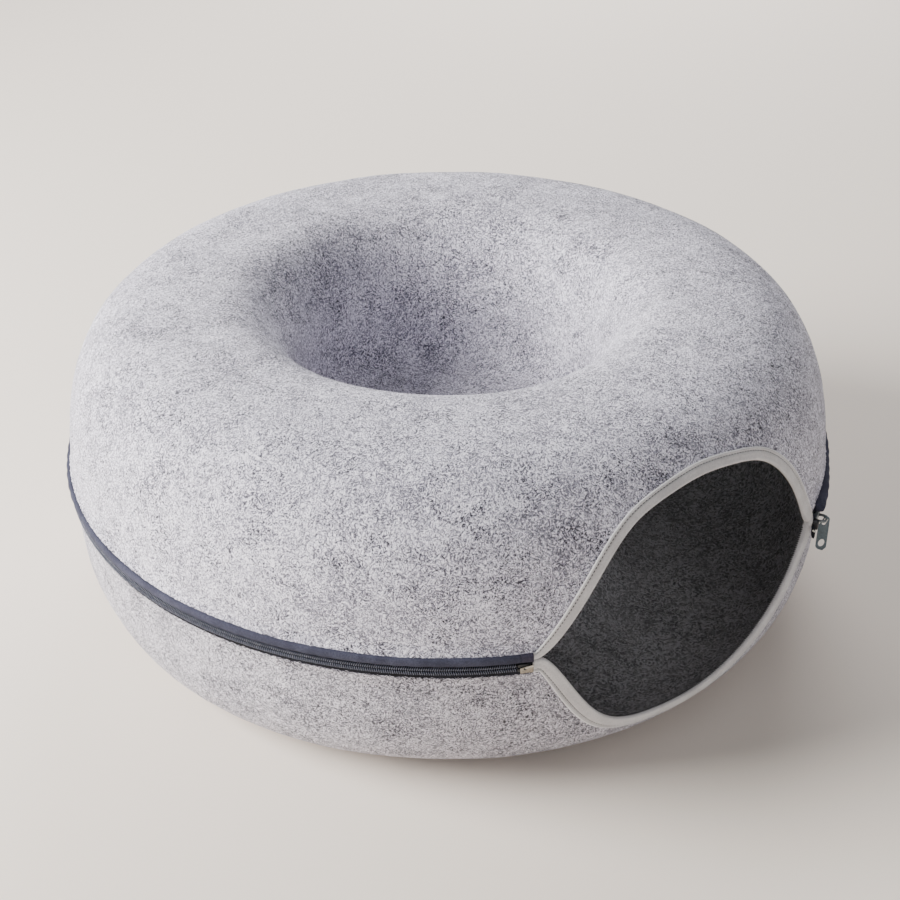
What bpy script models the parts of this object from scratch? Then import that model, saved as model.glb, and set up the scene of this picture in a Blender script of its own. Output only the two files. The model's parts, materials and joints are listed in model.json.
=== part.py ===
"""Donut cat tunnel: two moulded felt half-rings joined by a zip round the outside, with a side entrance.

Lengths are in metres, +Z is up and the entrance faces -Y. The object stands on z = 0. The ring's own axis is
vertical, a little in front of the origin, because the entrance makes the front shorter than the back.
Angles round the ring are counted from the front (-Y), positive towards +X.
"""

import math
from types import SimpleNamespace

import bmesh
import bpy
from mathutils import Vector

# The felt, measured to its outer face
FELT_RADIUS = 0.3004
CROWN_RADIUS = 0.1952
CROWN_RISE = 0.1255
WELL_RADIUS = 0.1173
WELL_CORNER = 0.028
BASE_DROP = 0.1272
BASE_OUTER_RADIUS = 0.214
BASE_INNER_RADIUS = 0.182
FELT = 0.0040
LINING = 0.0015

# How square each quarter of the section is, across and up
UPPER_OUTER_POWERS = (2.95, 2.46)
UPPER_WALL_POWERS = (3.23, 2.59)
LOWER_OUTER_POWERS = (2.57, 3.40)
LOWER_WALL_POWERS = (3.23, 2.59)

# Clearance between pieces that touch, and round the slider
GAP = 0.0003
RUNNING_GAP = 0.00045

# The entrance: half width and reach from the equator at the cut edge, and how far the binding spreads from it
ENTRANCE_HALF_WIDTH = 0.1325
ENTRANCE_UPPER_RISE = 0.0945
ENTRANCE_LOWER_DROP = 0.0860
ENTRANCE_POWERS = (3.1, 1.6)
BINDING_SIDE_WIDTH = 0.0045
BINDING_UPPER_WIDTH = 0.0062
BINDING_LOWER_WIDTH = 0.0057
BINDING_UPPER_POWERS = (2.9, 1.25)
BINDING_LOWER_POWERS = (3.2, 1.3)
BINDING = 0.0010
BINDING_MEET_DROP = 0.0012
BINDING_END_UPPER = 0.0055
BINDING_END_LOWER = 0.0105

# The zip, a number 5 nylon coil
ZIP_DROP = 0.0045
ZIP_TAPE = 0.0007
TAPE_EDGE = 0.0024
COIL_ROW = 0.0020
COIL_THICKNESS = 0.0022
SLIDER_POST = 0.0008
SLIDER_FLANGE = 0.0008
SLIDER_PLATE = 0.0012
SLIDER_LENGTH = 0.0120
SLIDER_REST_GAP = 0.0020
SLIDER_POST_LENGTH = 0.0035
SLIDER_END_TAPER = 0.0010

# The padded welt over the zip and its folded end
WELT_HEIGHT = 0.0058
WELT_THICKNESS = 0.0033
WELT_ROUNDING = 0.0012
WELT_END_LENGTH = 0.0080

# Ends of the zip
END_TAB_LENGTH = 0.0105
END_TAB_HEIGHT = 0.0048
END_TAB_THICKNESS = 0.0006
PIN_LENGTH = 0.0070
BOX_LENGTH = 0.0050
STOP_LENGTH = 0.0042
END_BOX_LENGTH = 0.0057
END_BOX_HEIGHT = 0.0062
END_BOX_THICKNESS = 0.0045
TAIL_LENGTH = 0.0105
TAIL_HEIGHT = 0.0042
TAIL_TIP_HEIGHT = 0.0022
TAIL_THICKNESS = 0.0008
TAIL_DROOP = 0.0030
TAIL_LEAN = 0.0022
EYELET_RADIUS = 0.0011
EYELET_THICKNESS = 0.0006
EYELET_BACK = 0.0045

# The slider's bridge and the pull tab that hangs on it
BRIDGE_REACH = 0.0064
BRIDGE_RISE = -0.0010
BRIDGE_HALF_SPAN = 0.0042
BRIDGE_WIRE_RADIUS = 0.0009
TAB_THICKNESS = 0.0012
TAB_WIDTH = 0.0080
TAB_LENGTH = 0.0309
TAB_RIM = 0.0013
TAB_SLOT_SLACK = 0.0004
TAB_SLOT_RUN = 0.0050
TAB_SLOT_TILT = math.radians(20)
TAB_NECK_WIDTH = 0.0058
TAB_NECK_LENGTH = 0.0060
TAB_SHOULDER = 0.0044
TAB_CORNER = 0.0028
TAB_EYE_RADII = (0.0022, 0.0036)
TAB_EYE_RISE = 0.0064
TAB_EYE_TILT = math.radians(17)

# How finely the round shapes are drawn
ENTRANCE_STEPS = 16
RING_STEPS = 32
ZIP_STEPS = 80
OUTER_ROWS = 5
WALL_ROWS = 4
CORNER_ROWS = 2
ARC_STEPS = 6
BRIDGE_STEPS = 12
EYELET_STEPS = 10
BISECTIONS = 40

# One felt wall with its lining, and what follows from the sizes above
WALL = FELT + GAP + LINING
POST_ROOM = SLIDER_POST / 2 + GAP
COIL_REACH = POST_ROOM + COIL_ROW
SLIDER_REACH = COIL_REACH + GAP + SLIDER_FLANGE
TAPE_RADIUS = FELT_RADIUS + GAP
TAPE_FACE_RADIUS = TAPE_RADIUS + ZIP_TAPE
COIL_RADIUS = TAPE_FACE_RADIUS + GAP
COIL_FACE_RADIUS = COIL_RADIUS + COIL_THICKNESS
PLATE_RADIUS = COIL_FACE_RADIUS + RUNNING_GAP
PLATE_FACE_RADIUS = PLATE_RADIUS + SLIDER_PLATE
BACK_PLATE_RADIUS = TAPE_RADIUS - RUNNING_GAP - SLIDER_PLATE
WELT_RADIUS = TAPE_FACE_RADIUS + GAP
WELT_FACE_RADIUS = WELT_RADIUS + WELT_THICKNESS
BRIDGE_RADIUS = PLATE_FACE_RADIUS + BRIDGE_REACH
EQUATOR_Z = BASE_DROP
ZIP_Z = EQUATOR_Z - ZIP_DROP
CORNER_ANGLE = math.asin(ENTRANCE_HALF_WIDTH / FELT_RADIUS)
BOUND_HALF_WIDTH = ENTRANCE_HALF_WIDTH + BINDING_SIDE_WIDTH
WRAP = GAP + BINDING

UPPER = SimpleNamespace(
    side=1,
    rise=CROWN_RISE,
    crown=(CROWN_RADIUS, CROWN_RADIUS),
    outer_powers=UPPER_OUTER_POWERS,
    wall_powers=UPPER_WALL_POWERS,
    floor=0,
    rim=SLIDER_REACH + GAP - ZIP_DROP,
    meet=GAP / 2 + WRAP - BINDING_MEET_DROP,
    arch=(ENTRANCE_HALF_WIDTH, ENTRANCE_UPPER_RISE, ENTRANCE_POWERS),
    bound=(BOUND_HALF_WIDTH, ENTRANCE_UPPER_RISE + BINDING_UPPER_WIDTH, BINDING_UPPER_POWERS),
    bound_end=BINDING_END_UPPER,
)
LOWER = SimpleNamespace(
    side=-1,
    rise=BASE_DROP,
    crown=(BASE_OUTER_RADIUS, BASE_INNER_RADIUS),
    outer_powers=LOWER_OUTER_POWERS,
    wall_powers=LOWER_WALL_POWERS,
    floor=2 * WALL + GAP,
    rim=SLIDER_REACH + GAP + ZIP_DROP,
    meet=GAP / 2 + WRAP + BINDING_MEET_DROP,
    arch=(ENTRANCE_HALF_WIDTH, ENTRANCE_LOWER_DROP, ENTRANCE_POWERS),
    bound=(BOUND_HALF_WIDTH, ENTRANCE_LOWER_DROP + BINDING_LOWER_WIDTH, BINDING_LOWER_POWERS),
    bound_end=BINDING_END_LOWER,
)


def along(length, radius=FELT_RADIUS):
    """The angle that a length covers round the ring."""
    return length / radius


def share_left(share, powers):
    """How far across a rounded quarter lies, from 1 at its edge to 0 at its crown, at a share of its rise."""
    across, up = powers
    return (1 - min(max(share, 0), 1) ** up) ** (1 / across)


def outer_radius(half, height):
    """Radius of the felt's outer face at a height away from the zip line."""
    crown = half.crown[0]
    return crown + (FELT_RADIUS - crown) * share_left(height / half.rise, half.outer_powers)


def wall_radius(half, height):
    """Radius of the dimple's wall at a height away from the zip line."""
    crown = half.crown[1]
    return crown - (crown - WELL_RADIUS) * share_left(height / half.rise, half.wall_powers)


def quarter_heights(half, start, steps, powers):
    """Heights from start to the crown, closer together where the quarter curves most."""
    up = powers[1]
    first = math.asin(min(max(start / half.rise, 0), 1) ** (up / 2))
    angles = [first + (math.pi / 2 - first) * i / steps for i in range(steps + 1)]
    return [half.rise * math.sin(a) ** (2 / up) for a in angles]


def arch_height(half, outline, angle, least):
    """Where the entrance's outline crosses the felt at an angle, as a height away from the zip line."""
    half_width, reach, (across_power, up_power) = outline
    low, high = least, half.rise
    for _ in range(BISECTIONS):
        middle = (low + high) / 2
        across = abs(outer_radius(half, middle) * math.sin(angle)) / half_width
        if middle < reach * (1 - min(across, 1) ** across_power) ** up_power:
            low = middle
        else:
            high = middle
    return (low + high) / 2


def in_entrance(angle):
    return abs(angle) <= CORNER_ANGLE + GAP


def edge_heights(half, angle):
    """Heights of the felt's cut edge and of the row under the binding's outer edge."""
    if not in_entrance(angle):
        return half.rim, half.rim + half.bound_end
    edge = arch_height(half, half.arch, angle, half.meet)
    bound = arch_height(half, half.bound, angle, half.bound_end)
    return edge, bound


def column(half, angle):
    """The outer face at one angle, from its edge over the crown to the dimple's middle, as (radius, height)."""
    edge, bound = edge_heights(half, angle)
    heights = [edge] + quarter_heights(half, bound, OUTER_ROWS, half.outer_powers)
    points = [(outer_radius(half, h), h) for h in heights]
    if half.crown[0] != half.crown[1]:
        points.append((half.crown[1], half.rise))
    corner_top = half.floor + WELL_CORNER
    wall = quarter_heights(half, corner_top, WALL_ROWS, half.wall_powers)[::-1]
    points += [(wall_radius(half, h), h) for h in wall[1:]]
    foot = wall_radius(half, corner_top) - WELL_CORNER
    for i in range(1, CORNER_ROWS + 1):
        turn = math.pi / 2 * i / CORNER_ROWS
        points.append((foot + WELL_CORNER * math.cos(turn), corner_top - WELL_CORNER * math.sin(turn)))
    return points + [(0, half.floor)]


def offset(points, distance):
    """A line parallel to a column, by a distance towards the tunnel."""
    steps = [Vector(b) - Vector(a) for a, b in zip(points, points[1:])]
    normals = [Vector((-s.y, s.x)).normalized() for s in steps]
    moved = []
    for i, point in enumerate(points):
        before, after = normals[max(i - 1, 0)], normals[min(i, len(normals) - 1)]
        middle = (before + after).normalized()
        moved.append(Vector(point) + middle * (distance / middle.dot(after)))
    return moved


def front_reach():
    """How far in front of the ring's axis the bound edge of the entrance reaches."""
    reaches = []
    for half in (UPPER, LOWER):
        for angle in entrance_angles():
            edge = edge_heights(half, angle)[0]
            reaches.append((outer_radius(half, edge) + WRAP) * math.cos(angle))
    return max(reaches)


def entrance_angles():
    """Angles across the entrance, closer together towards its corners."""
    turns = [math.pi / 2 * (2 * i / ENTRANCE_STEPS - 1) for i in range(ENTRANCE_STEPS + 1)]
    return [CORNER_ANGLE * math.sin(turn) for turn in turns]


def ring_angles():
    """Angles right round the ring, starting at the entrance's left corner."""
    notch = CORNER_ANGLE + along(SLIDER_PLATE)
    rest = 2 * math.pi - 2 * notch
    return entrance_angles() + [notch + rest * i / RING_STEPS for i in range(RING_STEPS + 1)]


AXIS_Y = (front_reach() - WELT_FACE_RADIUS) / 2


def ring_point(radius, angle, z):
    return Vector((radius * math.sin(angle), AXIS_Y - radius * math.cos(angle), z))


def half_point(half, point, angle):
    return ring_point(point[0], angle, EQUATOR_Z + half.side * point[1])


def finish_mesh(name, mesh_maker, material, parent=None):
    """Turns a bmesh into a named object with outward faces, smooth where the shape is round."""
    bmesh.ops.recalc_face_normals(mesh_maker, faces=mesh_maker.faces)
    mesh = bpy.data.meshes.new(name)
    mesh_maker.to_mesh(mesh)
    mesh_maker.free()
    mesh.shade_smooth()
    mesh.set_sharp_from_angle(angle=math.radians(35))
    mesh.materials.append(material)
    made = bpy.data.objects.new(name, mesh)
    bpy.context.scene.collection.objects.link(made)
    made.parent = parent
    return made


def felt_layer(name, half, near, far, material):
    """A layer of one half, between two distances in from the felt's outer face, closed at its edge."""
    maker = bmesh.new()
    angles = ring_angles()
    skins = []
    for distance in (near, far):
        grid = []
        for angle in angles:
            line = offset(column(half, angle), distance)
            grid.append([maker.verts.new(half_point(half, p, angle)) for p in line[:-1]])
        pole = maker.verts.new(half_point(half, line[-1], 0))
        skins.append(grid)
        for j, this in enumerate(grid):
            other = grid[(j + 1) % len(grid)]
            for i in range(len(this) - 1):
                maker.faces.new((this[i], other[i], this[i + 1]))
                maker.faces.new((this[i + 1], other[i], other[i + 1]))
            maker.faces.new((this[-1], other[-1], pole))
    outer, inner = skins
    for j in range(len(angles)):
        k = (j + 1) % len(angles)
        maker.faces.new((outer[j][0], outer[k][0], inner[j][0]))
        maker.faces.new((inner[j][0], outer[k][0], inner[k][0]))
    return finish_mesh(name, maker, material)


def loft(maker, sections, ranks=None):
    """Joins equal outlines into one closed solid. Ranks say which way each side's triangles lean."""
    rings = [[maker.verts.new(p) for p in section] for section in sections]
    for this, other in zip(rings, rings[1:]):
        for i in range(len(this)):
            k = (i + 1) % len(this)
            if ranks is None:
                maker.faces.new((this[i], this[k], other[k], other[i]))
                continue
            low, high = (i, k) if ranks[i] < ranks[k] else (k, i)
            maker.faces.new((this[low], this[high], other[low]))
            maker.faces.new((this[high], other[high], other[low]))
    maker.faces.new(rings[0])
    maker.faces.new(rings[-1][::-1])


def binding(name, half, material):
    """Tape folded over the felt's cut edge at the entrance, from its outer face round to the lining."""
    maker = bmesh.new()
    sections = []
    for angle in entrance_angles():
        points = column(half, angle)
        lead = (Vector(points[0]) - Vector(points[1])).normalized()
        outer_bound, outer_edge = offset(points, -WRAP)[1::-1]
        inner_edge, inner_bound = offset(points, WALL + WRAP)[:2]
        near_inner_edge, near_inner_bound = offset(points, WALL + GAP)[:2]
        near_outer_edge, near_outer_bound = offset(points, -GAP)[:2]
        section = [
            outer_bound,
            outer_edge + lead * WRAP,
            inner_edge + lead * WRAP,
            inner_bound,
            near_inner_bound,
            near_inner_edge + lead * GAP,
            near_outer_edge + lead * GAP,
            near_outer_bound,
        ]
        sections.append([half_point(half, p, angle) for p in section])
    loft(maker, sections, ranks=(2, 0, 1, 3, 4, 1, 0, 2))
    return finish_mesh(name, maker, material)


def strip(name, section, start, end, material, steps=ZIP_STEPS):
    """A band along the zip: an outline of (radius, height) carried round the ring from start to end."""
    maker = bmesh.new()
    angles = [start + (end - start) * i / steps for i in range(steps + 1)]
    loft(maker, [[ring_point(r, a, z) for r, z in section] for a in angles])
    return finish_mesh(name, maker, material)


def oblong(low, high):
    """The corners of an upright rectangle of (radius, height)."""
    return [low, (high[0], low[1]), high, (low[0], high[1])]


def clipped(low, high, clip):
    """An upright rectangle of (radius, height) with its two outer corners cut."""
    return [
        low,
        (high[0] - clip, low[1]),
        (high[0], low[1] + clip),
        (high[0], high[1] - clip),
        (high[0] - clip, high[1]),
        (low[0], high[1]),
    ]


def arc(centre, radius, start, end, steps=ARC_STEPS):
    """Points on an arc, from one angle to another."""
    turns = [start + (end - start) * i / steps for i in range(steps + 1)]
    return [(centre[0] + radius * math.cos(t), centre[1] + radius * math.sin(t)) for t in turns]


def plate(name, outline, thickness, material, parent):
    """A flat plate standing across the zip: outline of (outwards, up), half its thickness to each side."""
    maker = bmesh.new()
    loft(maker, [[Vector((x, -out, up)) for out, up in outline] for x in (-thickness / 2, thickness / 2)])
    return finish_mesh(name, maker, material, parent)


def cut_or_join(target, tool, operation):
    """A Boolean with a hidden helper object."""
    tool.hide_render = True
    tool.display_type = "WIRE"
    modifier = target.modifiers.new(tool.name, "BOOLEAN")
    modifier.object = tool
    modifier.operation = operation
    modifier.solver = "EXACT"


def material(name, colour, roughness, metallic=0.0):
    made = bpy.data.materials.new(name)
    made.use_nodes = True
    shader = made.node_tree.nodes["Principled BSDF"]
    shader.inputs["Base Color"].default_value = (*colour, 1)
    shader.inputs["Roughness"].default_value = roughness
    shader.inputs["Metallic"].default_value = metallic
    return made


def empty(name, location, turn=0, parent=None):
    made = bpy.data.objects.new(name, None)
    bpy.context.scene.collection.objects.link(made)
    made.location = location
    made.rotation_euler.z = turn
    made.parent = parent
    return made


def clear_scene():
    for old in list(bpy.data.objects):
        bpy.data.objects.remove(old)


def build_felt(felt, lining, tape):
    """Both halves: outer felt, dark lining and the binding round the entrance."""
    for word, half in (("upper", UPPER), ("lower", LOWER)):
        felt_layer(word + "_shell", half, 0, FELT, felt)
        felt_layer(word + "_lining", half, FELT + GAP, WALL, lining)
        binding(word + "_entrance_binding", half, tape)


# Places along the zip, as angles: the closed end is at the entrance's right corner
ZIP_START = CORNER_ANGLE + along(GAP)
ZIP_END = 2 * math.pi - ZIP_START
STOP_START = ZIP_START + along(GAP)
COIL_START = STOP_START + along(STOP_LENGTH + GAP)
COIL_END = ZIP_END - along(END_TAB_LENGTH)
SLIDER_ANGLE = COIL_START + along(SLIDER_REST_GAP + SLIDER_LENGTH / 2)


def build_tapes_and_coils(tape, nylon):
    """The two woven tapes and the two rows of teeth, drawn as plain rails beside the slider's post."""
    for word, half in (("upper", UPPER), ("lower", LOWER)):
        near = ZIP_Z + half.side * POST_ROOM
        coil_far = ZIP_Z + half.side * COIL_REACH
        if half.side > 0:
            tape_far = EQUATOR_Z + half.rim + WELT_HEIGHT - GAP
        else:
            tape_far = EQUATOR_Z - half.rim - TAPE_EDGE
        strip(
            word + "_zip_tape",
            oblong((TAPE_RADIUS, near), (TAPE_FACE_RADIUS, tape_far)),
            ZIP_START,
            ZIP_END,
            tape,
        )
        strip(
            word + "_zip_coil",
            oblong((COIL_RADIUS, near), (COIL_FACE_RADIUS, coil_far)),
            COIL_START,
            COIL_END,
            nylon,
        )
        strip(
            word + "_top_stop",
            oblong((COIL_RADIUS, near), (COIL_FACE_RADIUS, coil_far)),
            STOP_START,
            STOP_START + along(STOP_LENGTH),
            nylon,
            1,
        )


def build_welt(fabric, fold):
    """The padded fold that stands out over the zip, and its folded left end."""
    bottom = EQUATOR_Z + UPPER.rim + GAP
    low, high = (WELT_RADIUS, bottom), (WELT_FACE_RADIUS, bottom + WELT_HEIGHT)
    fold_start = ZIP_END - along(WELT_END_LENGTH)
    section = clipped(low, high, WELT_ROUNDING)
    strip("zip_welt", section, ZIP_START, fold_start - along(GAP), fabric)
    strip("welt_end_cap", section, fold_start, ZIP_END, fold, CORNER_ROWS)


def build_left_end(nylon, tan):
    """Where the halves part: the pin on the upper tape, its box on the lower one, and the tan tab over both."""
    tab_start = COIL_END + along(GAP)
    face = COIL_FACE_RADIUS
    top, bottom = ZIP_Z + COIL_REACH, ZIP_Z - COIL_REACH
    near = ZIP_Z + POST_ROOM
    tab_top = bottom + END_TAB_HEIGHT
    pin_low = (COIL_RADIUS, near)
    strip("insertion_pin", oblong(pin_low, (face, top)), tab_start, tab_start + along(PIN_LENGTH), nylon, 1)
    box_low = (COIL_RADIUS, bottom)
    box_high = (face, ZIP_Z - POST_ROOM)
    strip("retainer_box", oblong(box_low, box_high), tab_start, tab_start + along(BOX_LENGTH), nylon, 1)
    tab_low = (face + GAP, bottom)
    tab_high = (face + GAP + END_TAB_THICKNESS, tab_top)
    strip("zip_end_tab", oblong(tab_low, tab_high), tab_start, ZIP_END, tan, CORNER_ROWS)


def build_right_end(nylon, tape, metal):
    """The end box over the stops, and the tape's tail running straight on past the corner."""
    back = COIL_FACE_RADIUS + GAP
    box_end = COIL_START - along(GAP)
    box_start = box_end - along(END_BOX_LENGTH)
    low = (back, ZIP_Z - END_BOX_HEIGHT / 2)
    high = (back + END_BOX_THICKNESS, ZIP_Z + END_BOX_HEIGHT / 2)
    strip("zip_end_box", clipped(low, high, GAP), box_start, box_end, nylon, 1)

    frame = empty("tail_root", (0, AXIS_Y, 0), box_start - along(GAP))
    middle = back + END_BOX_THICKNESS / 2
    maker = bmesh.new()
    sections = []
    for run, height in ((0, TAIL_HEIGHT), (TAIL_LENGTH, TAIL_TIP_HEIGHT)):
        z = ZIP_Z - TAIL_DROOP * run / TAIL_LENGTH
        back = middle + TAIL_LEAN * run / TAIL_LENGTH
        outline = oblong((back, z - height / 2), (back + TAIL_THICKNESS, z + height / 2))
        sections.append([Vector((-run, -r, up)) for r, up in outline])
    loft(maker, sections)
    finish_mesh("zip_tail", maker, tape, frame)

    eyelet_z = ZIP_Z - TAIL_DROOP * EYELET_BACK / TAIL_LENGTH
    front = middle + TAIL_THICKNESS + GAP + TAIL_LEAN * (EYELET_BACK + EYELET_RADIUS) / TAIL_LENGTH
    ring = arc((0, 0), EYELET_RADIUS, 0, 2 * math.pi, EYELET_STEPS)[:-1]
    maker = bmesh.new()
    loft(
        maker,
        [[Vector((x - EYELET_BACK, -r, eyelet_z + y)) for x, y in ring] for r in (front, front + EYELET_THICKNESS)],
    )
    finish_mesh("tail_eyelet", maker, metal, frame)


def slider_block(name, low, high, material, parent, ends=0):
    """A block of the slider between two (radius, height) corners, narrowed at its ends by a taper."""
    half_length = SLIDER_LENGTH / 2
    stations = [(-half_length, ends), (-half_length + ends, 0), (half_length - ends, 0), (half_length, ends)]
    if not ends:
        stations = [stations[0], stations[-1]]
    maker = bmesh.new()
    sections = []
    for x, taper in stations:
        outline = clipped(low, (high[0], high[1]), GAP + taper / 2)
        sections.append([Vector((x, -r, z)) for r, z in outline])
    loft(maker, sections)
    return finish_mesh(name, maker, material, parent)


def build_slider(metal, frame):
    """Top plate with flanges, back plate and the post between the two rows of teeth, as one casting."""
    bottom, top = ZIP_Z - SLIDER_REACH, ZIP_Z + SLIDER_REACH
    body = slider_block(
        "slider_body", (PLATE_RADIUS, bottom), (PLATE_FACE_RADIUS, top), metal, frame, SLIDER_END_TAPER
    )
    back = slider_block(
        "back_plate", (BACK_PLATE_RADIUS, bottom), (BACK_PLATE_RADIUS + SLIDER_PLATE, top), metal, frame
    )
    cut_or_join(body, back, "UNION")
    flange_foot = TAPE_FACE_RADIUS + RUNNING_GAP
    inside = PLATE_RADIUS + SLIDER_PLATE / 2
    for word, edge in (("lower_flange", bottom), ("upper_flange", top - SLIDER_FLANGE)):
        flange = plate(
            word, oblong((flange_foot, edge), (inside, edge + SLIDER_FLANGE)), SLIDER_LENGTH, metal, frame
        )
        cut_or_join(body, flange, "UNION")
    half_post = SLIDER_POST / 2
    post = plate(
        "post",
        oblong((BACK_PLATE_RADIUS + SLIDER_PLATE / 2, ZIP_Z - half_post), (inside, ZIP_Z + half_post)),
        SLIDER_POST_LENGTH,
        metal,
        frame,
    )
    post.location.x = (SLIDER_POST_LENGTH - SLIDER_LENGTH) / 2
    cut_or_join(body, post, "UNION")


def build_bridge(metal, frame):
    """The round-wire arch on the top plate, which the pull tab hangs on."""
    foot = PLATE_FACE_RADIUS + GAP
    reach = BRIDGE_RADIUS - foot
    curve = bpy.data.curves.new("slider_bridge", "CURVE")
    curve.dimensions = "3D"
    curve.bevel_depth = BRIDGE_WIRE_RADIUS
    curve.bevel_resolution = 1
    curve.use_fill_caps = True
    path = curve.splines.new("POLY")
    path.points.add(BRIDGE_STEPS)
    for i, point in enumerate(path.points):
        turn = math.pi * i / BRIDGE_STEPS
        across = math.copysign(abs(math.cos(turn)) ** 0.5, math.cos(turn)) * BRIDGE_HALF_SPAN
        out = foot + reach * math.sin(turn) ** 0.5
        point.co = (across, -out, ZIP_Z + BRIDGE_RISE, 1)
    made = bpy.data.objects.new("slider_bridge", curve)
    bpy.context.scene.collection.objects.link(made)
    made.parent = frame
    curve.materials.append(metal)


def build_pull_tab(metal, frame):
    """Flat pull with a slanted slot for the bridge at its top and an oval eye near its foot."""
    pivot = empty("pull_pivot", (0, -BRIDGE_RADIUS, ZIP_Z + BRIDGE_RISE), 0, frame)
    slot_radius = BRIDGE_WIRE_RADIUS + TAB_SLOT_SLACK
    head = slot_radius + TAB_RIM
    outer, inner = head, head - TAB_WIDTH
    foot = head - TAB_LENGTH
    neck = head - TAB_NECK_WIDTH
    outline = arc((0, 0), head, 0, math.pi * 3 / 4)
    outline += [(neck, -TAB_SHOULDER / 2), (inner, -TAB_SHOULDER - TAB_NECK_LENGTH / 2)]
    outline += arc((inner + TAB_CORNER, foot + TAB_CORNER), TAB_CORNER, math.pi, math.pi * 3 / 2)
    outline += [(outer - TAB_CORNER, foot), (outer, foot + TAB_CORNER)]
    tab = plate("pull_tab", outline, TAB_THICKNESS, metal, pivot)

    run = Vector((-math.sin(TAB_SLOT_TILT), -math.cos(TAB_SLOT_TILT))) * TAB_SLOT_RUN
    slot_turn = -TAB_SLOT_TILT
    slot = arc((0, 0), slot_radius, slot_turn, slot_turn + math.pi)
    slot += arc(run, slot_radius, slot_turn + math.pi, slot_turn + 2 * math.pi)
    cut_or_join(tab, plate("tab_slot", slot, 2 * TAB_THICKNESS, metal, pivot), "DIFFERENCE")

    eye = []
    for x, y in arc((0, 0), 1, 0, 2 * math.pi, 2 * ARC_STEPS)[:-1]:
        side, up = x * TAB_EYE_RADII[0], y * TAB_EYE_RADII[1]
        turned = side * math.cos(TAB_EYE_TILT) + up * math.sin(TAB_EYE_TILT)
        raised = up * math.cos(TAB_EYE_TILT) - side * math.sin(TAB_EYE_TILT)
        eye.append(((outer + inner) / 2 + turned, foot + TAB_EYE_RISE + raised))
    cut_or_join(tab, plate("tab_eye", eye, 2 * TAB_THICKNESS, metal, pivot), "DIFFERENCE")


def main():
    clear_scene()
    felt = material("grey_felt", (0.52, 0.52, 0.56), 0.95)
    lining = material("charcoal_felt", (0.06, 0.06, 0.065), 0.95)
    bound = material("pale_tape", (0.50, 0.49, 0.47), 0.85)
    fabric = material("slate_welt", (0.10, 0.11, 0.16), 0.8)
    fold = material("dark_fold", (0.06, 0.06, 0.09), 0.8)
    zip_tape = material("zip_tape", (0.03, 0.03, 0.035), 0.8)
    nylon = material("black_nylon", (0.02, 0.02, 0.022), 0.4)
    tan = material("tan_tab", (0.45, 0.38, 0.29), 0.8)
    metal = material("gunmetal", (0.13, 0.16, 0.18), 0.4, 0.9)
    bright = material("bright_metal", (0.75, 0.74, 0.70), 0.3, 1.0)
    build_felt(felt, lining, bound)
    build_tapes_and_coils(zip_tape, nylon)
    build_welt(fabric, fold)
    build_left_end(nylon, tan)
    build_right_end(nylon, zip_tape, bright)
    slider_frame = empty("slider_frame", (0, AXIS_Y, 0), SLIDER_ANGLE)
    build_slider(metal, slider_frame)
    build_bridge(metal, slider_frame)
    build_pull_tab(metal, slider_frame)


main()
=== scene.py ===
"""Donut cat tunnel in grey felt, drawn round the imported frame.

Everything is in metres in the frame of the solids: +Z is up and the entrance faces -Y. Angles round the
ring are counted from the front (-Y), positive towards +X. Heights on a felt half are counted away from its
equator.
"""

import json
import math
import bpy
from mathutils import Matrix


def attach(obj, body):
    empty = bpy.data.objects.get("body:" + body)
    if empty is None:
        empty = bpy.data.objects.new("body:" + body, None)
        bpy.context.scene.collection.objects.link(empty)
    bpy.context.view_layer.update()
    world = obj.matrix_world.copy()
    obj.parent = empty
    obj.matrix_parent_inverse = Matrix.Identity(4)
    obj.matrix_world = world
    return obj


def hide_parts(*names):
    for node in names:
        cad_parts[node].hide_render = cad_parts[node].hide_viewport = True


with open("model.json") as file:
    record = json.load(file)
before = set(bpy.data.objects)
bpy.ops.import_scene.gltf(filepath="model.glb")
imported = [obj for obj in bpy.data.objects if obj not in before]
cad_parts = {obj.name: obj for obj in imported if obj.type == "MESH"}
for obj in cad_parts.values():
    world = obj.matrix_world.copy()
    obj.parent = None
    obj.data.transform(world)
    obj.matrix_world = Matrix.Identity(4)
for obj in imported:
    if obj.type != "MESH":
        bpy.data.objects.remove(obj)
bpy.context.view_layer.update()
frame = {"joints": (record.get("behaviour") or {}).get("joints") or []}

from types import SimpleNamespace

import bmesh
import bpy
import numpy as np
from mathutils import Matrix, Vector, noise

JOINTS = {joint["name"]: joint for joint in frame["joints"]}
AXIS = Vector(JOINTS["slider_run"]["pos_m"])
PIVOT = Vector(JOINTS["pull_tab_swing"]["pos_m"])

# The felt, measured to its outer face

FELT_RADIUS = 0.3004
WELL_RADIUS = 0.1173
WELL_CORNER = 0.028
BASE_DROP = 0.1272
FELT = 0.0040
LINING = 0.0015
GAP = 0.0003
WALL = FELT + GAP + LINING
BINDING = 0.0010
WRAP = GAP + BINDING
ENTRANCE_HALF_WIDTH = 0.1325
BINDING_SIDE_WIDTH = 0.0045
CORNER_ANGLE = math.asin(ENTRANCE_HALF_WIDTH / FELT_RADIUS)
EQUATOR_Z = BASE_DROP
ZIP_Z = AXIS.z

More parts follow.
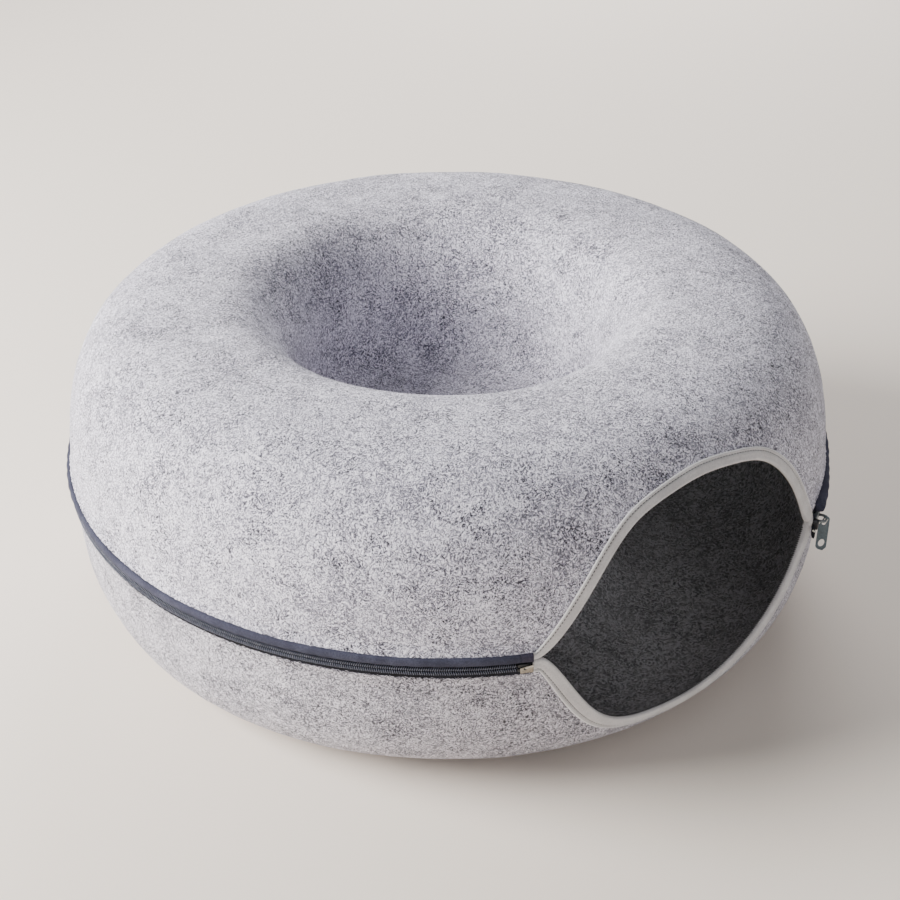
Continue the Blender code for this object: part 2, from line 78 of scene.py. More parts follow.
# Heights from the equator: rise to the crown, floor of the dimple, rim beside the zip, meet and bound_end
# at the entrance's corners. Entrance: reach is its height, lean and wave bend its outline, shoulders are the
# powers of its left and right sides, and hem_shares scale them for the binding's outer edge. A crown has an
# outer and an inner radius, and a lip has a height and a bulge.
UPPER = SimpleNamespace(
    name="upper",
    felt="grey_felt",
    side=1,
    rise=0.1255,
    crown=(0.1952, 0.1952),
    outer_powers=(2.95, 2.46),
    wall_powers=(3.23, 2.59),
    floor=0,
    rim=-0.0004,
    meet=0.00025,
    reach=0.0940,
    lean=0.011,
    shoulders=((3.30, 1.74), (3.74, 1.62)),
    binding_width=0.0062,
    hem_shares=(0.93, 0.80),
    wave=(0.0013, math.radians(18), math.radians(1), math.radians(24)),
    bound_end=0.0055,
    lip=(0.0049, 0.0022),
)
LOWER = SimpleNamespace(
    name="lower",
    # the lower half wears the grey felt made darker: painted shade on the lower half
    felt="grey_felt_painted_shade",
    side=-1,
    rise=BASE_DROP,
    crown=(0.214, 0.182),
    outer_powers=(2.57, 3.40),
    wall_powers=(3.23, 2.59),
    floor=2 * WALL + GAP,
    rim=0.0086,
    meet=0.00265,
    reach=0.0846,
    lean=-0.110,
    shoulders=((3.82, 1.94), (1.63, 0.76)),
    binding_width=0.0057,
    hem_shares=(1.0, 0.80),
    wave=(-0.0026, math.radians(90), math.radians(12), math.radians(11)),
    bound_end=0.0105,
    lip=(0.0112, 0.0012),
)


def along(length, radius=FELT_RADIUS):
    """The angle that a length covers round the ring."""
    return length / radius


def to_world(radius, angle, z):
    """Points in the frame from arrays of radius, angle and z."""
    radius, angle, z = np.broadcast_arrays(radius, angle, z)
    return np.stack([AXIS.x + radius * np.sin(angle), AXIS.y - radius * np.cos(angle), z], axis=-1)


def unit(vectors):
    return vectors / np.linalg.norm(vectors, axis=-1, keepdims=True)


def signed_power(value, power):
    return np.copysign(np.abs(value) ** power, value)


def run_along(points):
    """The distance along a line of points at each of them."""
    return np.concatenate([[0], np.cumsum(np.linalg.norm(np.diff(points, axis=0), axis=1))])


def sampled(at, run, *fields):
    """Each field of vectors along a line, taken at the given distances."""
    return [np.stack([np.interp(at, run, field[:, k]) for k in range(3)], axis=1) for field in fields]


def add_mesh(name, vertices, faces, smooth=True):
    mesh = bpy.data.meshes.new(name)
    mesh.from_pydata([tuple(v) for v in vertices], [], [tuple(f) for f in faces])
    mesh.update()
    if smooth:
        mesh.shade_smooth()
    made = bpy.data.objects.new(name, mesh)
    bpy.context.scene.collection.objects.link(made)
    return made


def grid_faces(rows, columns, wrap_rows=False, wrap_columns=False, start=0):
    """Quads between neighbouring points of a grid that is stored row by row."""
    i = np.arange(rows if wrap_rows else rows - 1)
    j = np.arange(columns if wrap_columns else columns - 1)
    i, j = (a.ravel() for a in np.meshgrid(i, j, indexing="ij"))
    k, m = (i + 1) % rows, (j + 1) % columns
    quads = np.stack([i * columns + j, i * columns + m, k * columns + m, k * columns + j], axis=1)
    return (quads + start).tolist()


def outward(made):
    """Turns every face of a closed mesh outwards."""
    shape = bmesh.new()
    shape.from_mesh(made.data)
    bmesh.ops.recalc_face_normals(shape, faces=shape.faces)
    shape.to_mesh(made.data)
    shape.free()
    made.data.update()
    return made


def swept(name, sections):
    """A closed solid from equal outlines, shaped (sections, points, 3), with flat ends."""
    sections = np.asarray(sections, float)
    count, points = sections.shape[:2]
    faces = grid_faces(count, points, wrap_columns=True)
    faces.append(list(range(points)))
    faces.append(list(range((count - 1) * points, count * points)))
    return outward(add_mesh(name, sections.reshape(-1, 3), faces))


def tube(name, centres, first, second, radius, sides):
    """A tube round a line, from two directions across it."""
    turns = 2 * math.pi * np.arange(sides) / sides
    rings = [centres + (first * math.cos(t) + second * math.sin(t)) * radius for t in turns]
    return swept(name, np.stack(rings, axis=1))


def merged(parts):
    """The vertices and faces of several shells as one list of each."""
    vertices, faces = [], []
    for points, polygons in parts:
        faces += [tuple(i + len(vertices) for i in polygon) for polygon in polygons]
        vertices += [tuple(point) for point in points]
    return vertices, faces


def metre_map(made, u, v):
    """A UV map in metres, from arrays of along and across that spread over the vertices."""
    u, v = np.broadcast_arrays(u, v)
    layer = made.data.uv_layers.new(name="metres")
    corners = np.empty(len(made.data.loops), dtype=np.int32)
    made.data.loops.foreach_get("vertex_index", corners)
    flat = np.stack([u.ravel()[corners], v.ravel()[corners]], axis=1)
    layer.data.foreach_set("uv", flat.astype(np.float32).ravel())


def dress(made, material, body, slot, *replaced):
    """Gives a finished piece its material and its body, and hides the solids that it stands for; the slot is
    not used.
    """
    made.data.materials.clear()
    made.data.materials.append(MATERIALS[material])
    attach(made, body)
    if replaced:
        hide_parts(*replaced)


# The felt's shape

ENTRANCE_COLUMNS = 96
RING_COLUMNS = 288
BISECTIONS = 40
NOTCH = 0.0004
HIDDEN_EDGE = 0.0012
EDGE_STEPS = 6
OUTER_STEPS = 30
BASE_STEPS = 4
WALL_STEPS = 20
CORNER_STEPS = 8
FLOOR_STEPS = 8
FELT_SWELL = 0.0009
FELT_SWELL_SIZE = 0.070
FELT_LUMP = 0.00028
FELT_LUMP_SIZE = 0.012
SWELL_MARGIN = 0.020
LINING_LUMP_SHARE = 0.4
PINCH_SHARE = 0.72
PINCH_REACH = 0.015
SWELL_SHIFTS = (7.3, 3.1, 5.7)
LEAST_STEP = 1e-9
FACE_STEP = 0.00001
NORMAL_STEP = 0.01
ANGLE_SLACK = 0.000001


def share_left(share, powers):
    """How far across a rounded quarter lies at a share of its rise: 1 at its edge and 0 at its crown."""
    across, up = powers
    return (1 - np.clip(share, 0, 1) ** up) ** (1 / across)


def outer_radius(half, height):
    crown = half.crown[0]
    return crown + (FELT_RADIUS - crown) * share_left(height / half.rise, half.outer_powers)


def wall_radius(half, height):
    crown = half.crown[1]
    return crown - (crown - WELL_RADIUS) * share_left(height / half.rise, half.wall_powers)


def quarter_heights(half, start, steps, powers):
    """Heights from start to the crown, closer together where the quarter curves most."""
    up = powers[1]
    first = np.arcsin(np.clip(start / half.rise, 0, 1) ** (up / 2))
    angles = first + (math.pi / 2 - first) * np.linspace(0, 1, steps + 1)
    return half.rise * np.sin(angles) ** (2 / up)


def arch_height(half, angles, widen, hem_shares, least):
    """The height at each angle of the entrance's outline, widened by (side, reach), on the felt."""
    half_width, reach = ENTRANCE_HALF_WIDTH + widen[0], half.reach + widen[1]
    height, period, middle_angle, spread = half.wave
    away = angles - middle_angle
    wave = height * np.cos(2 * math.pi * away / period) * np.exp(-((away / spread) ** 2))
    low = np.full(angles.shape, least)
    high = np.full(angles.shape, half.rise)
    for _ in range(BISECTIONS):
        middle = (low + high) / 2
        across = outer_radius(half, middle) * np.sin(angles) - half.lean * middle
        left, right = half.shoulders
        across_power = np.where(across < 0, left[0], right[0]) * hem_shares[0]
        up_power = np.where(across < 0, left[1], right[1]) * hem_shares[1]
        outline = reach * (1 - np.minimum(np.abs(across) / half_width, 1) ** across_power) ** up_power
        inside = middle < outline + wave
        low = np.where(inside, middle, low)
        high = np.where(inside, high, middle)
    return (low + high) / 2


def edge_heights(half, angles):
    """Heights of the felt's cut edge and of the binding's outer edge at each angle."""
    turned = (angles + math.pi) % (2 * math.pi) - math.pi
    opening = np.abs(turned) <= CORNER_ANGLE + ANGLE_SLACK
    edge = arch_height(half, turned, (0, 0), (1, 1), half.meet)
    widen = (BINDING_SIDE_WIDTH, half.binding_width)
    bound = arch_height(half, turned, widen, half.hem_shares, half.bound_end)
    return np.where(opening, edge, half.rim), np.where(opening, bound, half.rim + half.bound_end)


def columns(half, angles):
    """The felt's outer face, edge to dimple, as (angles, rows) arrays of radius and height."""
    edge, bound = edge_heights(half, angles)
    edge = np.minimum(edge + HIDDEN_EDGE * (edge > half.meet), bound - HIDDEN_EDGE)
    shares = np.linspace(0, 1, EDGE_STEPS + 1)[:-1]
    heights = [edge[:, None] + (bound - edge)[:, None] * shares]
    heights.append(quarter_heights(half, bound[:, None], OUTER_STEPS, half.outer_powers))
    heights = np.concatenate(heights, axis=1)
    radii = outer_radius(half, heights)

    flat = np.linspace(half.crown[0], half.crown[1], BASE_STEPS + 1)[1:-1]
    if half.crown[0] == half.crown[1]:
        flat = flat[:0]
    corner_top = half.floor + WELL_CORNER
    wall = quarter_heights(half, corner_top, WALL_STEPS, half.wall_powers)[::-1]
    wall = wall[0 if len(flat) else 1 :]
    foot = float(wall_radius(half, corner_top)) - WELL_CORNER
    turns = np.linspace(0, math.pi / 2, CORNER_STEPS + 1)[1:]
    floor = np.linspace(foot, 0, FLOOR_STEPS + 1)[1:-1]
    parts = [flat, wall_radius(half, wall), foot + WELL_CORNER * np.cos(turns), floor]
    rest_radii = np.concatenate(parts)
    parts = [np.full(len(flat), half.rise), wall, corner_top - WELL_CORNER * np.sin(turns)]
    rest_heights = np.concatenate(parts + [np.full(len(floor), half.floor)])
    tile = (len(angles), 1)
    radii = np.concatenate([radii, np.tile(rest_radii, tile)], axis=1)
    return radii, np.concatenate([heights, np.tile(rest_heights, tile)], axis=1)


def ring_angles():
    """Angles right round the ring, starting at the entrance's left corner."""
    opening = CORNER_ANGLE * np.sin(np.linspace(-math.pi / 2, math.pi / 2, ENTRANCE_COLUMNS + 1))
    first = CORNER_ANGLE + along(NOTCH)
    return np.concatenate([opening, np.linspace(first, 2 * math.pi - first, RING_COLUMNS)])


ANGLES = ring_angles()


def swell(points, size, seed):
    """Smooth random height at each point, about -1 to 1."""
    shift = Vector([seed * number for number in SWELL_SHIFTS])
    values = [noise.noise(Vector(p) / size + shift) for p in points.reshape(-1, 3)]
    return np.array(values).reshape(points.shape[:-1])


def pinched(away):
    """How much of its thickness the wall keeps at a distance from its bound edge."""
    return 1 - PINCH_SHARE * np.exp(-((away / PINCH_REACH) ** 2))


def felt_skin(half, distance, lump_share):
    """Points of one face of the felt, with its soft dents, at a distance in from its outer face."""
    radii, heights = columns(half, ANGLES)
    across, up = np.gradient(radii, axis=1), np.gradient(heights, axis=1)
    length = np.maximum(np.hypot(across, up), LEAST_STEP)
    in_r, in_h = -up / length, across / length
    angle = ANGLES[:, None]
    base = to_world(radii, angle, EQUATOR_Z + half.side * heights)
    away = np.abs(heights - heights[:, :1]) + np.abs(radii - radii[:, :1])
    calm = np.clip(away / SWELL_MARGIN, 0, 1)
    if half.side < 0:
        calm = calm * np.clip((half.rise - heights) / SWELL_MARGIN, 0, 1)
    lift = swell(base, FELT_SWELL_SIZE, half.side) * FELT_SWELL
    lift = (lift + swell(base, FELT_LUMP_SIZE, 3 * half.side) * FELT_LUMP * lump_share) * calm
    depth = distance * pinched(away) - lift
    return to_world(radii + in_r * depth, angle, EQUATOR_Z + half.side * (heights + in_h * depth))


def felt_solid(name, half, near, far, lump_share):
    """A closed felt layer between two distances in from the outer face."""
    skins = [felt_skin(half, distance, lump_share) for distance in (near, far)]
    count, rows = skins[0].shape[:2]
    poles = [skin[:, -1].mean(axis=0) for skin in skins]
    vertices = np.concatenate([skin.reshape(-1, 3) for skin in skins] + [poles])
    shift = count * rows
    faces = grid_faces(count, rows, wrap_rows=True)
    faces += grid_faces(count, rows, wrap_rows=True, start=shift)
    for j in range(count):
        k = (j + 1) % count
        faces.append((j * rows, k * rows, shift + k * rows, shift + j * rows))
        faces.append((j * rows + rows - 1, k * rows + rows - 1, 2 * shift))
        faces.append((shift + j * rows + rows - 1, shift + k * rows + rows - 1, 2 * shift + 1))
    return outward(add_mesh(name, vertices, faces))


def face_points(half, angles, heights, depth):
    """Points on the felt at a depth in from its outer face, and its outward normals there."""
    radii = outer_radius(half, heights)
    across = outer_radius(half, heights + FACE_STEP) - outer_radius(half, heights - FACE_STEP)
    length = np.hypot(across, 2 * FACE_STEP)
    out_r, out_h = 2 * FACE_STEP / length, -across / length

    def place(out):
        return to_world(radii + out_r * out, angles, EQUATOR_Z + half.side * (heights + out_h * out))

    return place(-depth), (place(NORMAL_STEP) - place(0)) / NORMAL_STEP


# Materials

MATERIALS = {}
NAP_DEPTH = 0.0004
PLASTIC_GRAIN_DEPTH = 0.00003
METAL_GRAIN_DEPTH = 0.00004
# Ground, patches, dark fibres, light fibres, size of a stroke, contrast and sheen
FELTS = {
    "grey_felt": (
        (0.475, 0.458, 0.545),
        (0.365, 0.350, 0.425),
        (0.035, 0.033, 0.043),
        (0.94, 0.905, 1.0),
        0.0018,
        1.0,
        0.15,
    ),
    # The same grey felt made darker: painted shade for the lower half
    "grey_felt_painted_shade": (
        (0.395, 0.377, 0.430),
        (0.303, 0.290, 0.338),
        (0.030, 0.028, 0.035),
        (0.79, 0.755, 0.82),
        0.0018,
        1.0,
        0.15,
    ),
    # The lining's felt, coloured much lighter than charcoal: painted light for the inside of the tunnel
    "charcoal_felt": (
        (0.47, 0.463, 0.48),
        (0.38, 0.375, 0.39),
        (0.16, 0.158, 0.165),
        (0.72, 0.71, 0.74),
        0.0030,
        0.85,
        0.1,
    ),
}
# Dark colour, light colour, distance between threads, depth of the weave and sheen
WOVEN = {
    "pale_tape": ((0.55, 0.53, 0.53), (0.72, 0.70, 0.70), 0.0007, 0.00012, 0.2),
    # The hem's folded edge, lighter than the tape: a painted highlight along it
    "pale_edge_painted_highlight": ((0.82, 0.81, 0.81), (0.96, 0.95, 0.95), 0.0005, 0.00008, 0.2),
    # The stitches' thread, near-black: painted shade of the needle holes and of the shadows along the
    # stitches
    "stitch_painted_shade": ((0.05, 0.048, 0.050), (0.11, 0.105, 0.108), 0.0004, 0.00008, 0.2),
    "slate_welt": ((0.031, 0.032, 0.053), (0.068, 0.070, 0.107), 0.0006, 0.0001, 0.0),
    "dark_fold": ((0.027, 0.024, 0.042), (0.055, 0.050, 0.077), 0.0006, 0.0001, 0.0),
    "zip_tape": ((0.003, 0.0033, 0.0060), (0.013, 0.0142, 0.0240), 0.0008, 0.00015, 0.0),
    "tan_tab": ((0.24, 0.195, 0.145), (0.50, 0.43, 0.34), 0.0008, 0.0001, 0.2),
    "tan_fold": ((0.50, 0.44, 0.37), (0.72, 0.66, 0.58), 0.0006, 0.0001, 0.2),
}
# Colour and roughness
PLASTICS = {
    "black_nylon": ((0.010, 0.0105, 0.0125), 0.36),
    # The teeth, much lighter than their black nylon: painted glints
    "nylon_teeth_painted_glints": ((0.125, 0.135, 0.180), 0.20),
    "black_cord": ((0.0015, 0.0016, 0.0026), 0.9),
}
# Colour, metallic share, roughness, and how much brighter the light grains are
METALS = {
    "gunmetal": ((0.16, 0.18, 0.19), 0.8, 0.34, 1.8),
    "gunmetal_pull": ((0.125, 0.160, 0.178), 0.4, 0.45, 1.25),
    "bright_metal": ((0.72, 0.68, 0.60), 1.0, 0.28, 1.8),
}


def new_material(name, roughness):
    made = bpy.data.materials.new(name)
    made.use_nodes = True
    MATERIALS[name] = made
    shader = made.node_tree.nodes["Principled BSDF"]
    shader.inputs["Roughness"].default_value = roughness
    return made.node_tree, shader


def set_colour(socket, colour):
    socket.default_value = (*colour, 1)


def coordinates(tree):
    return tree.nodes.new("ShaderNodeTexCoord").outputs["Object"]


def noise_of(tree, place, scale, detail=2.0, shift=0.0, roughness=0.5, distortion=0.0):
    """Noise from 0 to 1 at a scale per metre, moved by a shift so that layers differ."""
    moved = tree.nodes.new("ShaderNodeVectorMath")
    moved.operation = "ADD"
    moved.inputs[1].default_value = (shift, shift * 0.7, -shift * 1.3)
    tree.links.new(place, moved.inputs[0])
    made = tree.nodes.new("ShaderNodeTexNoise")
    values = (("Scale", scale), ("Detail", detail), ("Roughness", roughness), ("Distortion", distortion))
    for key, number in values:
        made.inputs[key].default_value = number
    tree.links.new(moved.outputs[0], made.inputs["Vector"])
    return made.outputs["Fac"]


def maths(tree, operation, first, second=None):
    made = tree.nodes.new("ShaderNodeMath")
    made.operation = operation
    for socket, value in zip(made.inputs, (first, second)):
        if value is None:
            continue
        if isinstance(value, (int, float)):
            socket.default_value = value
        else:
            tree.links.new(value, socket)
    return made.outputs[0]


def ramp(tree, value, low, high, start=0.0, end=1.0):
    """Smooth step of a value between low and high, from start to end."""
    made = tree.nodes.new("ShaderNodeMapRange")
    made.interpolation_type = "SMOOTHSTEP"
    for key, number in (("From Min", low), ("From Max", high), ("To Min", start), ("To Max", end)):
        made.inputs[key].default_value = number
    tree.links.new(value, made.inputs["Value"])
    return made.outputs["Result"]


def blend_colours(tree, share, first, second):
    """A mix of two colours, each given as numbers or as a socket."""
    made = tree.nodes.new("ShaderNodeMix")
    made.data_type = "RGBA"
    sockets = [s for s in made.inputs if s.type == "RGBA"]
    for socket, value in zip(sockets, (first, second)):
        if isinstance(value, tuple):
            set_colour(socket, value)
        else:
            tree.links.new(value, socket)
    tree.links.new(share, made.inputs["Factor"])
    return [s for s in made.outputs if s.type == "RGBA"][0]


def add_bump(tree, shader, height, distance, strength):
    made = tree.nodes.new("ShaderNodeBump")
    made.inputs["Strength"].default_value = strength
    made.inputs["Distance"].default_value = distance
    tree.links.new(height, made.inputs["Height"])
    tree.links.new(made.outputs["Normal"], shader.inputs["Normal"])


def ribbons(tree, place, scale, turns, shift):
    """Waves from -1 to 1 that run along the contour lines of a smooth noise."""
    field = noise_of(tree, place, scale, detail=0.0, shift=shift, distortion=0.5)
    return maths(tree, "SINE", maths(tree, "MULTIPLY", field, 2 * math.pi * turns))


def mixed(tree, share, first, second):
    """One number or another by a share."""
    made = tree.nodes.new("ShaderNodeMix")
    for i, value in ((0, share), (2, first), (3, second)):
        tree.links.new(value, made.inputs[i])
    return made.outputs[0]


def fibres(tree, place, size, shift):
    """Short curly strokes in all directions, from -1 for dark to 1 for light, about a size apart."""
    layers = [ribbons(tree, place, 0.38 / size, 4.2, shift + 10.0 * i) for i in range(3)]
    value = layers[0]
    for i, layer in enumerate(layers[1:]):
        patches = noise_of(tree, place, 0.80 / size, detail=0.0, shift=shift + 41.0 + 7.0 * i)
        value = mixed(tree, ramp(tree, patches, 0.47, 0.53), value, layer)
    return value


def felt_material(name, base, patch, dark, light, stroke, contrast, sheen):
    """Pressed felt: a marled ground with curly dark and light fibres and a fine nap."""
    tree, shader = new_material(name, 0.95)
    shader.inputs["Sheen Weight"].default_value = sheen
    shader.inputs["Sheen Roughness"].default_value = 0.6
    shader.inputs["Specular IOR Level"].default_value = 0.15
    place = coordinates(tree)
    drift = noise_of(tree, place, 24.0, detail=5.0, shift=1.0, roughness=0.62)
    ground = blend_colours(tree, ramp(tree, drift, 0.42, 0.66), base, patch)
    coarse = fibres(tree, place, stroke, 3.0)
    fine = fibres(tree, place, 0.65 * stroke, 83.0)
    value = maths(tree, "ADD", maths(tree, "MULTIPLY", coarse, 0.65), maths(tree, "MULTIPLY", fine, 0.50))
    blots = ramp(tree, noise_of(tree, place, 88.0, shift=29.0), 0.32, 0.68, 0.17, -0.17)
    value = maths(tree, "ADD", value, blots)
    value = maths(tree, "ADD", value, ramp(tree, drift, 0.34, 0.66, 0.07, -0.07))
    patchy = ramp(tree, noise_of(tree, place, 40.0, detail=3.0, shift=7.0), 0.36, 0.60, 0.70, 1.0)
    darks = maths(tree, "MULTIPLY", ramp(tree, value, -0.12, -0.85, 0.0, contrast), patchy)
    specks = noise_of(tree, place, 420.0, detail=1.0, shift=17.0)
    darks = maths(tree, "MAXIMUM", darks, ramp(tree, specks, 0.70, 0.78, 0.0, 0.7 * contrast))
    lights = ramp(tree, value, 0.05, 0.75, 0.0, 0.95 * contrast)
    colour = blend_colours(tree, darks, blend_colours(tree, lights, ground, light), dark)
    tree.links.new(colour, shader.inputs["Base Color"])
    add_bump(tree, shader, value, NAP_DEPTH, 0.6)


def woven_material(name, dark, light, thread, depth, sheen):
    """Narrow woven tape: threads along and across, from the piece's own map in metres."""
    tree, shader = new_material(name, 0.85)
    shader.inputs["Sheen Weight"].default_value = sheen
    shader.inputs["Specular IOR Level"].default_value = 0.25
    source = tree.nodes.new("ShaderNodeUVMap")
    source.uv_map = "metres"
    split = tree.nodes.new("ShaderNodeSeparateXYZ")
    tree.links.new(source.outputs["UV"], split.inputs[0])
    turns = 2 * math.pi / thread
    waves = [maths(tree, "SINE", maths(tree, "MULTIPLY", split.outputs[key], turns)) for key in "XY"]
    weave = maths(tree, "MULTIPLY", *waves)
    place = coordinates(tree)
    fuzz = noise_of(tree, place, 900.0, shift=2.0)
    clouds = noise_of(tree, place, 60.0, detail=3.0, shift=9.0)
    share = maths(tree, "ADD", maths(tree, "MULTIPLY", weave, 0.22), ramp(tree, fuzz, 0.3, 0.7, 0.1, 0.5))
    share = maths(tree, "ADD", share, ramp(tree, clouds, 0.35, 0.65, -0.1, 0.25))
    colour = blend_colours(tree, ramp(tree, share, 0.0, 1.0), dark, light)
    tree.links.new(colour, shader.inputs["Base Color"])
    add_bump(tree, shader, maths(tree, "ADD", weave, fuzz), depth, 0.7)


def hard_material(name, dark, light, roughness, grain, wear, depth, strength, metallic=0.0):
    """Plastic or metal: a fine grain of two colours, with worn patches that are rougher or smoother."""
    tree, shader = new_material(name, roughness)
    shader.inputs["Metallic"].default_value = metallic
    place = coordinates(tree)
    scale, detail, shift, low, high = grain
    grains = noise_of(tree, place, scale, detail=detail, shift=shift)
    colour = blend_colours(tree, ramp(tree, grains, low, high), dark, light)
    tree.links.new(colour, shader.inputs["Base Color"])
    scale, shift, smoother, rougher = wear
    worn = noise_of(tree, place, scale, detail=3.0, shift=shift)
    worn = ramp(tree, worn, 0.3, 0.7, roughness - smoother, roughness + rougher)
    tree.links.new(worn, shader.inputs["Roughness"])
    add_bump(tree, shader, grains, depth, strength)


def plastic_material(name, colour, roughness):
    light = tuple(c * 1.6 for c in colour)
    grain, wear = (1500.0, 2.0, 3.0, 0.4, 0.8), (300.0, 5.0, 0.08, 0.12)
    hard_material(name, colour, light, roughness, grain, wear, PLASTIC_GRAIN_DEPTH, 0.5)


def metal_material(name, colour, metallic, roughness, brighter):
    light = tuple(c * brighter + 0.01 for c in colour)
    grain, wear = (700.0, 4.0, 6.0, 0.45, 0.75), (250.0, 8.0, 0.1, 0.15)
    hard_material(name, colour, light, roughness, grain, wear, METAL_GRAIN_DEPTH, 0.4, metallic)


def make_materials():
    for maker, looks in (
        (felt_material, FELTS),
        (woven_material, WOVEN),
        (plastic_material, PLASTICS),
        (metal_material, METALS),
    ):
        for name, values in looks.items():
            maker(name, *values)


# The felt halves, and their raw edges beside the zip

LIP_COLUMNS = 1600
LIP_RISE = 0.0100
LIP_STEPS = 7
LIP_THICKNESS = 0.0012
LIP_SINK = 0.0003
LIP_INNER_RISE = 0.0002
LIP_POWER = 1.6
LIP_RAG_GAIN = 200
LIP_RAGS = ((330, 5.0, 0.0010), (900, 9.0, 0.0007))


def build_felt():
    for half in (UPPER, LOWER):
        body = half.name + "_half"
        shell = felt_solid(half.name + "_felt", half, 0, FELT, 1)
        dress(shell, half.felt, body, "grey_felt", half.name + "_shell")
        lining = felt_solid(half.name + "_inner_felt", half, FELT + GAP, WALL, LINING_LUMP_SHARE)
        # the lining's light colour is painted light inside the tunnel
        dress(lining, "charcoal_felt", body, "charcoal_felt", half.name + "_lining")


def build_lip(half):
    """The felt's raw edge beside the zip: it stands out a little and is ragged along its cut."""
    start = CORNER_ANGLE + along(NOTCH)
    angles = np.linspace(start, 2 * math.pi - start, LIP_COLUMNS)
    low, bulge = half.lip
    ragged = 0
    for rate, seed, height in LIP_RAGS:
        values = [noise.noise(Vector((x * rate, half.side * seed, 0))) for x in angles * FELT_RADIUS]
        ragged = ragged + np.array(values) * height
    rows = []
    shares = np.linspace(0, 1, LIP_STEPS)
    for share in shares:
        heights = low + ragged * (1 - share) + LIP_RISE * share
        stand = bulge * (1 - share) ** LIP_POWER * (1 + ragged * LIP_RAG_GAIN) - LIP_SINK * share
        rows.append(face_points(half, angles, heights, -stand)[0])
    for share in shares[::-1]:
        heights = low + ragged * (1 - share) + LIP_RISE * share + LIP_INNER_RISE
        stand = bulge * (1 - share) ** LIP_POWER - LIP_THICKNESS
        rows.append(face_points(half, angles, heights, -stand)[0])
    made = swept(half.name + "_felt_edge", np.stack(rows, axis=1))
    dress(made, half.felt, half.name + "_half", "grey_felt")


# The binding round the entrance

BINDING_COLUMNS = 220
FINE_COLUMNS = 4001
END_ROUNDING = ((0.0, 0.80), (0.0003, 0.92), (0.0008, 0.98), (0.0015, 1.0))
END_MARGIN = 0.003
HEM_SHARE = 0.11
HEM_SPREAD_SHARE = 0.08
HEM_LIFT = 0.0006
GROOVE_SHARE = 0.30
GROOVE_SPREAD_SHARE = 0.045
GROOVE_DEPTH = 0.0006
CROWN_LIFT = 0.0003
CROWN_WIDTH_SHARE = 0.6
RISE_SHARE = 0.04
SWELL_RISE_SHARE = 0.1
INNER_LIFT_SHARE = 0.8
TUCK = 0.0002
FOLD_STEPS = 12
FOLD_POWER = 0.75
FOLD_GIRTH_SHARE = 0.6
OUTER_SHARES = np.concatenate([[0.0, 0.02, 0.06, 0.12, 0.18, 0.22], np.linspace(0.26, 1.0, 14)])
CORNER_SWELL = 0.0016
CORNER_SWELL_REACH = 0.012
LOBE_DROP = 0.0085
LOBE_OUT = 0.0014
LOBE_FORWARD = 0.0034
LOBE_GROWTH_SHARE = 0.12
LOBE_TIP_SHARE = 0.12
LOBE_POWER = 0.55
LOBE_STATIONS = 14
HEM_FOLD_RADIUS = 0.00055
HEM_FOLD_RISE = 0.0011
HEM_FOLD_SIDES = 10


def binding_lift(share):
    """Height of the tape's face over the felt: a raised hem, a sewn groove and a soft crown."""
    rise = np.clip(share / RISE_SHARE, 0, 1) ** 0.5
    hem = HEM_LIFT * np.exp(-(((share - HEM_SHARE) / HEM_SPREAD_SHARE) ** 2))
    groove = GROOVE_DEPTH * np.exp(-(((share - GROOVE_SHARE) / GROOVE_SPREAD_SHARE) ** 2))
    crown = CROWN_LIFT * np.sin(math.pi * np.clip((share - GROOVE_SHARE) / CROWN_WIDTH_SHARE, 0, 1))
    return (WRAP + hem - groove + crown) * rise


def corner_swell(angles):
    """How much thicker the folded tape is near the right corner."""
    away = (CORNER_ANGLE - angles) * FELT_RADIUS
    return CORNER_SWELL * np.exp(-((away / CORNER_SWELL_REACH) ** 2))


def entrance_curve(half, count):
    """Angles evenly spaced along the entrance's edge, with the heights of the edge and the bound line."""
    fine = np.linspace(-CORNER_ANGLE, CORNER_ANGLE, FINE_COLUMNS)
    edge, bound = edge_heights(half, fine)
    run = run_along(to_world(outer_radius(half, edge), fine, EQUATOR_Z + half.side * edge))
    ends = np.array([distance for distance, _ in END_ROUNDING])
    middle = np.linspace(END_MARGIN, run[-1] - END_MARGIN, count)
    even = np.concatenate([ends, middle, run[-1] - ends[::-1]])
    angles = np.interp(even, run, fine)
    edge, bound = edge_heights(half, angles)
    return angles, edge, bound, even


def edge_fold(half, angles, edge):
    """The line that the tape folds round: its middle, normals, tangents and the way into the entrance."""
    points, normals = face_points(half, angles, edge, 0)
    tangents = unit(np.gradient(points, axis=0))
    middle = face_points(half, angles, edge, WALL / 2 * pinched(0))[0]
    return middle, normals, tangents, np.cross(tangents, normals) * half.side


def fold_place(middle, normals, into, turn, swell_out=0):
    """Points on the tape where it has turned by an angle round the felt's edge."""
    out = signed_power(math.cos(turn), FOLD_POWER) * (WALL / 2 * pinched(0) + binding_lift(1.0))
    out = np.reshape(out + swell_out * (1 + math.cos(turn)) / 2, (-1, 1))
    return middle + normals * out + into * math.sin(turn) ** FOLD_POWER * (WRAP + HIDDEN_EDGE)


def with_lobe(sections, run):
    """The upper binding's outlines with its rounded end, which hangs over the zip at the right corner."""
    last = sections[-1]
    centre = last.mean(axis=0)
    outwards = unit(np.array([centre[0] - AXIS.x, centre[1] - AXIS.y, 0]))
    forwards = np.array([outwards[1], -outwards[0], 0])
    moved = outwards * LOBE_OUT + forwards * LOBE_FORWARD
    added, reach = [], []
    for step in range(1, LOBE_STATIONS + 1):
        turn = math.pi / 2 * step / LOBE_STATIONS
        fall = math.sin(turn)
        size = max(math.cos(turn), LOBE_TIP_SHARE) ** LOBE_POWER
        size *= 1 + LOBE_GROWTH_SHARE * math.sin(2 * turn)
        side = moved * math.sin(min(2 * turn, math.pi / 2))
        added.append(centre + side + np.array([0, 0, -LOBE_DROP * fall]) + (last - centre) * size)
        reach.append(run[-1] + LOBE_DROP * fall)
    return np.concatenate([sections, added]), np.concatenate([run, reach])


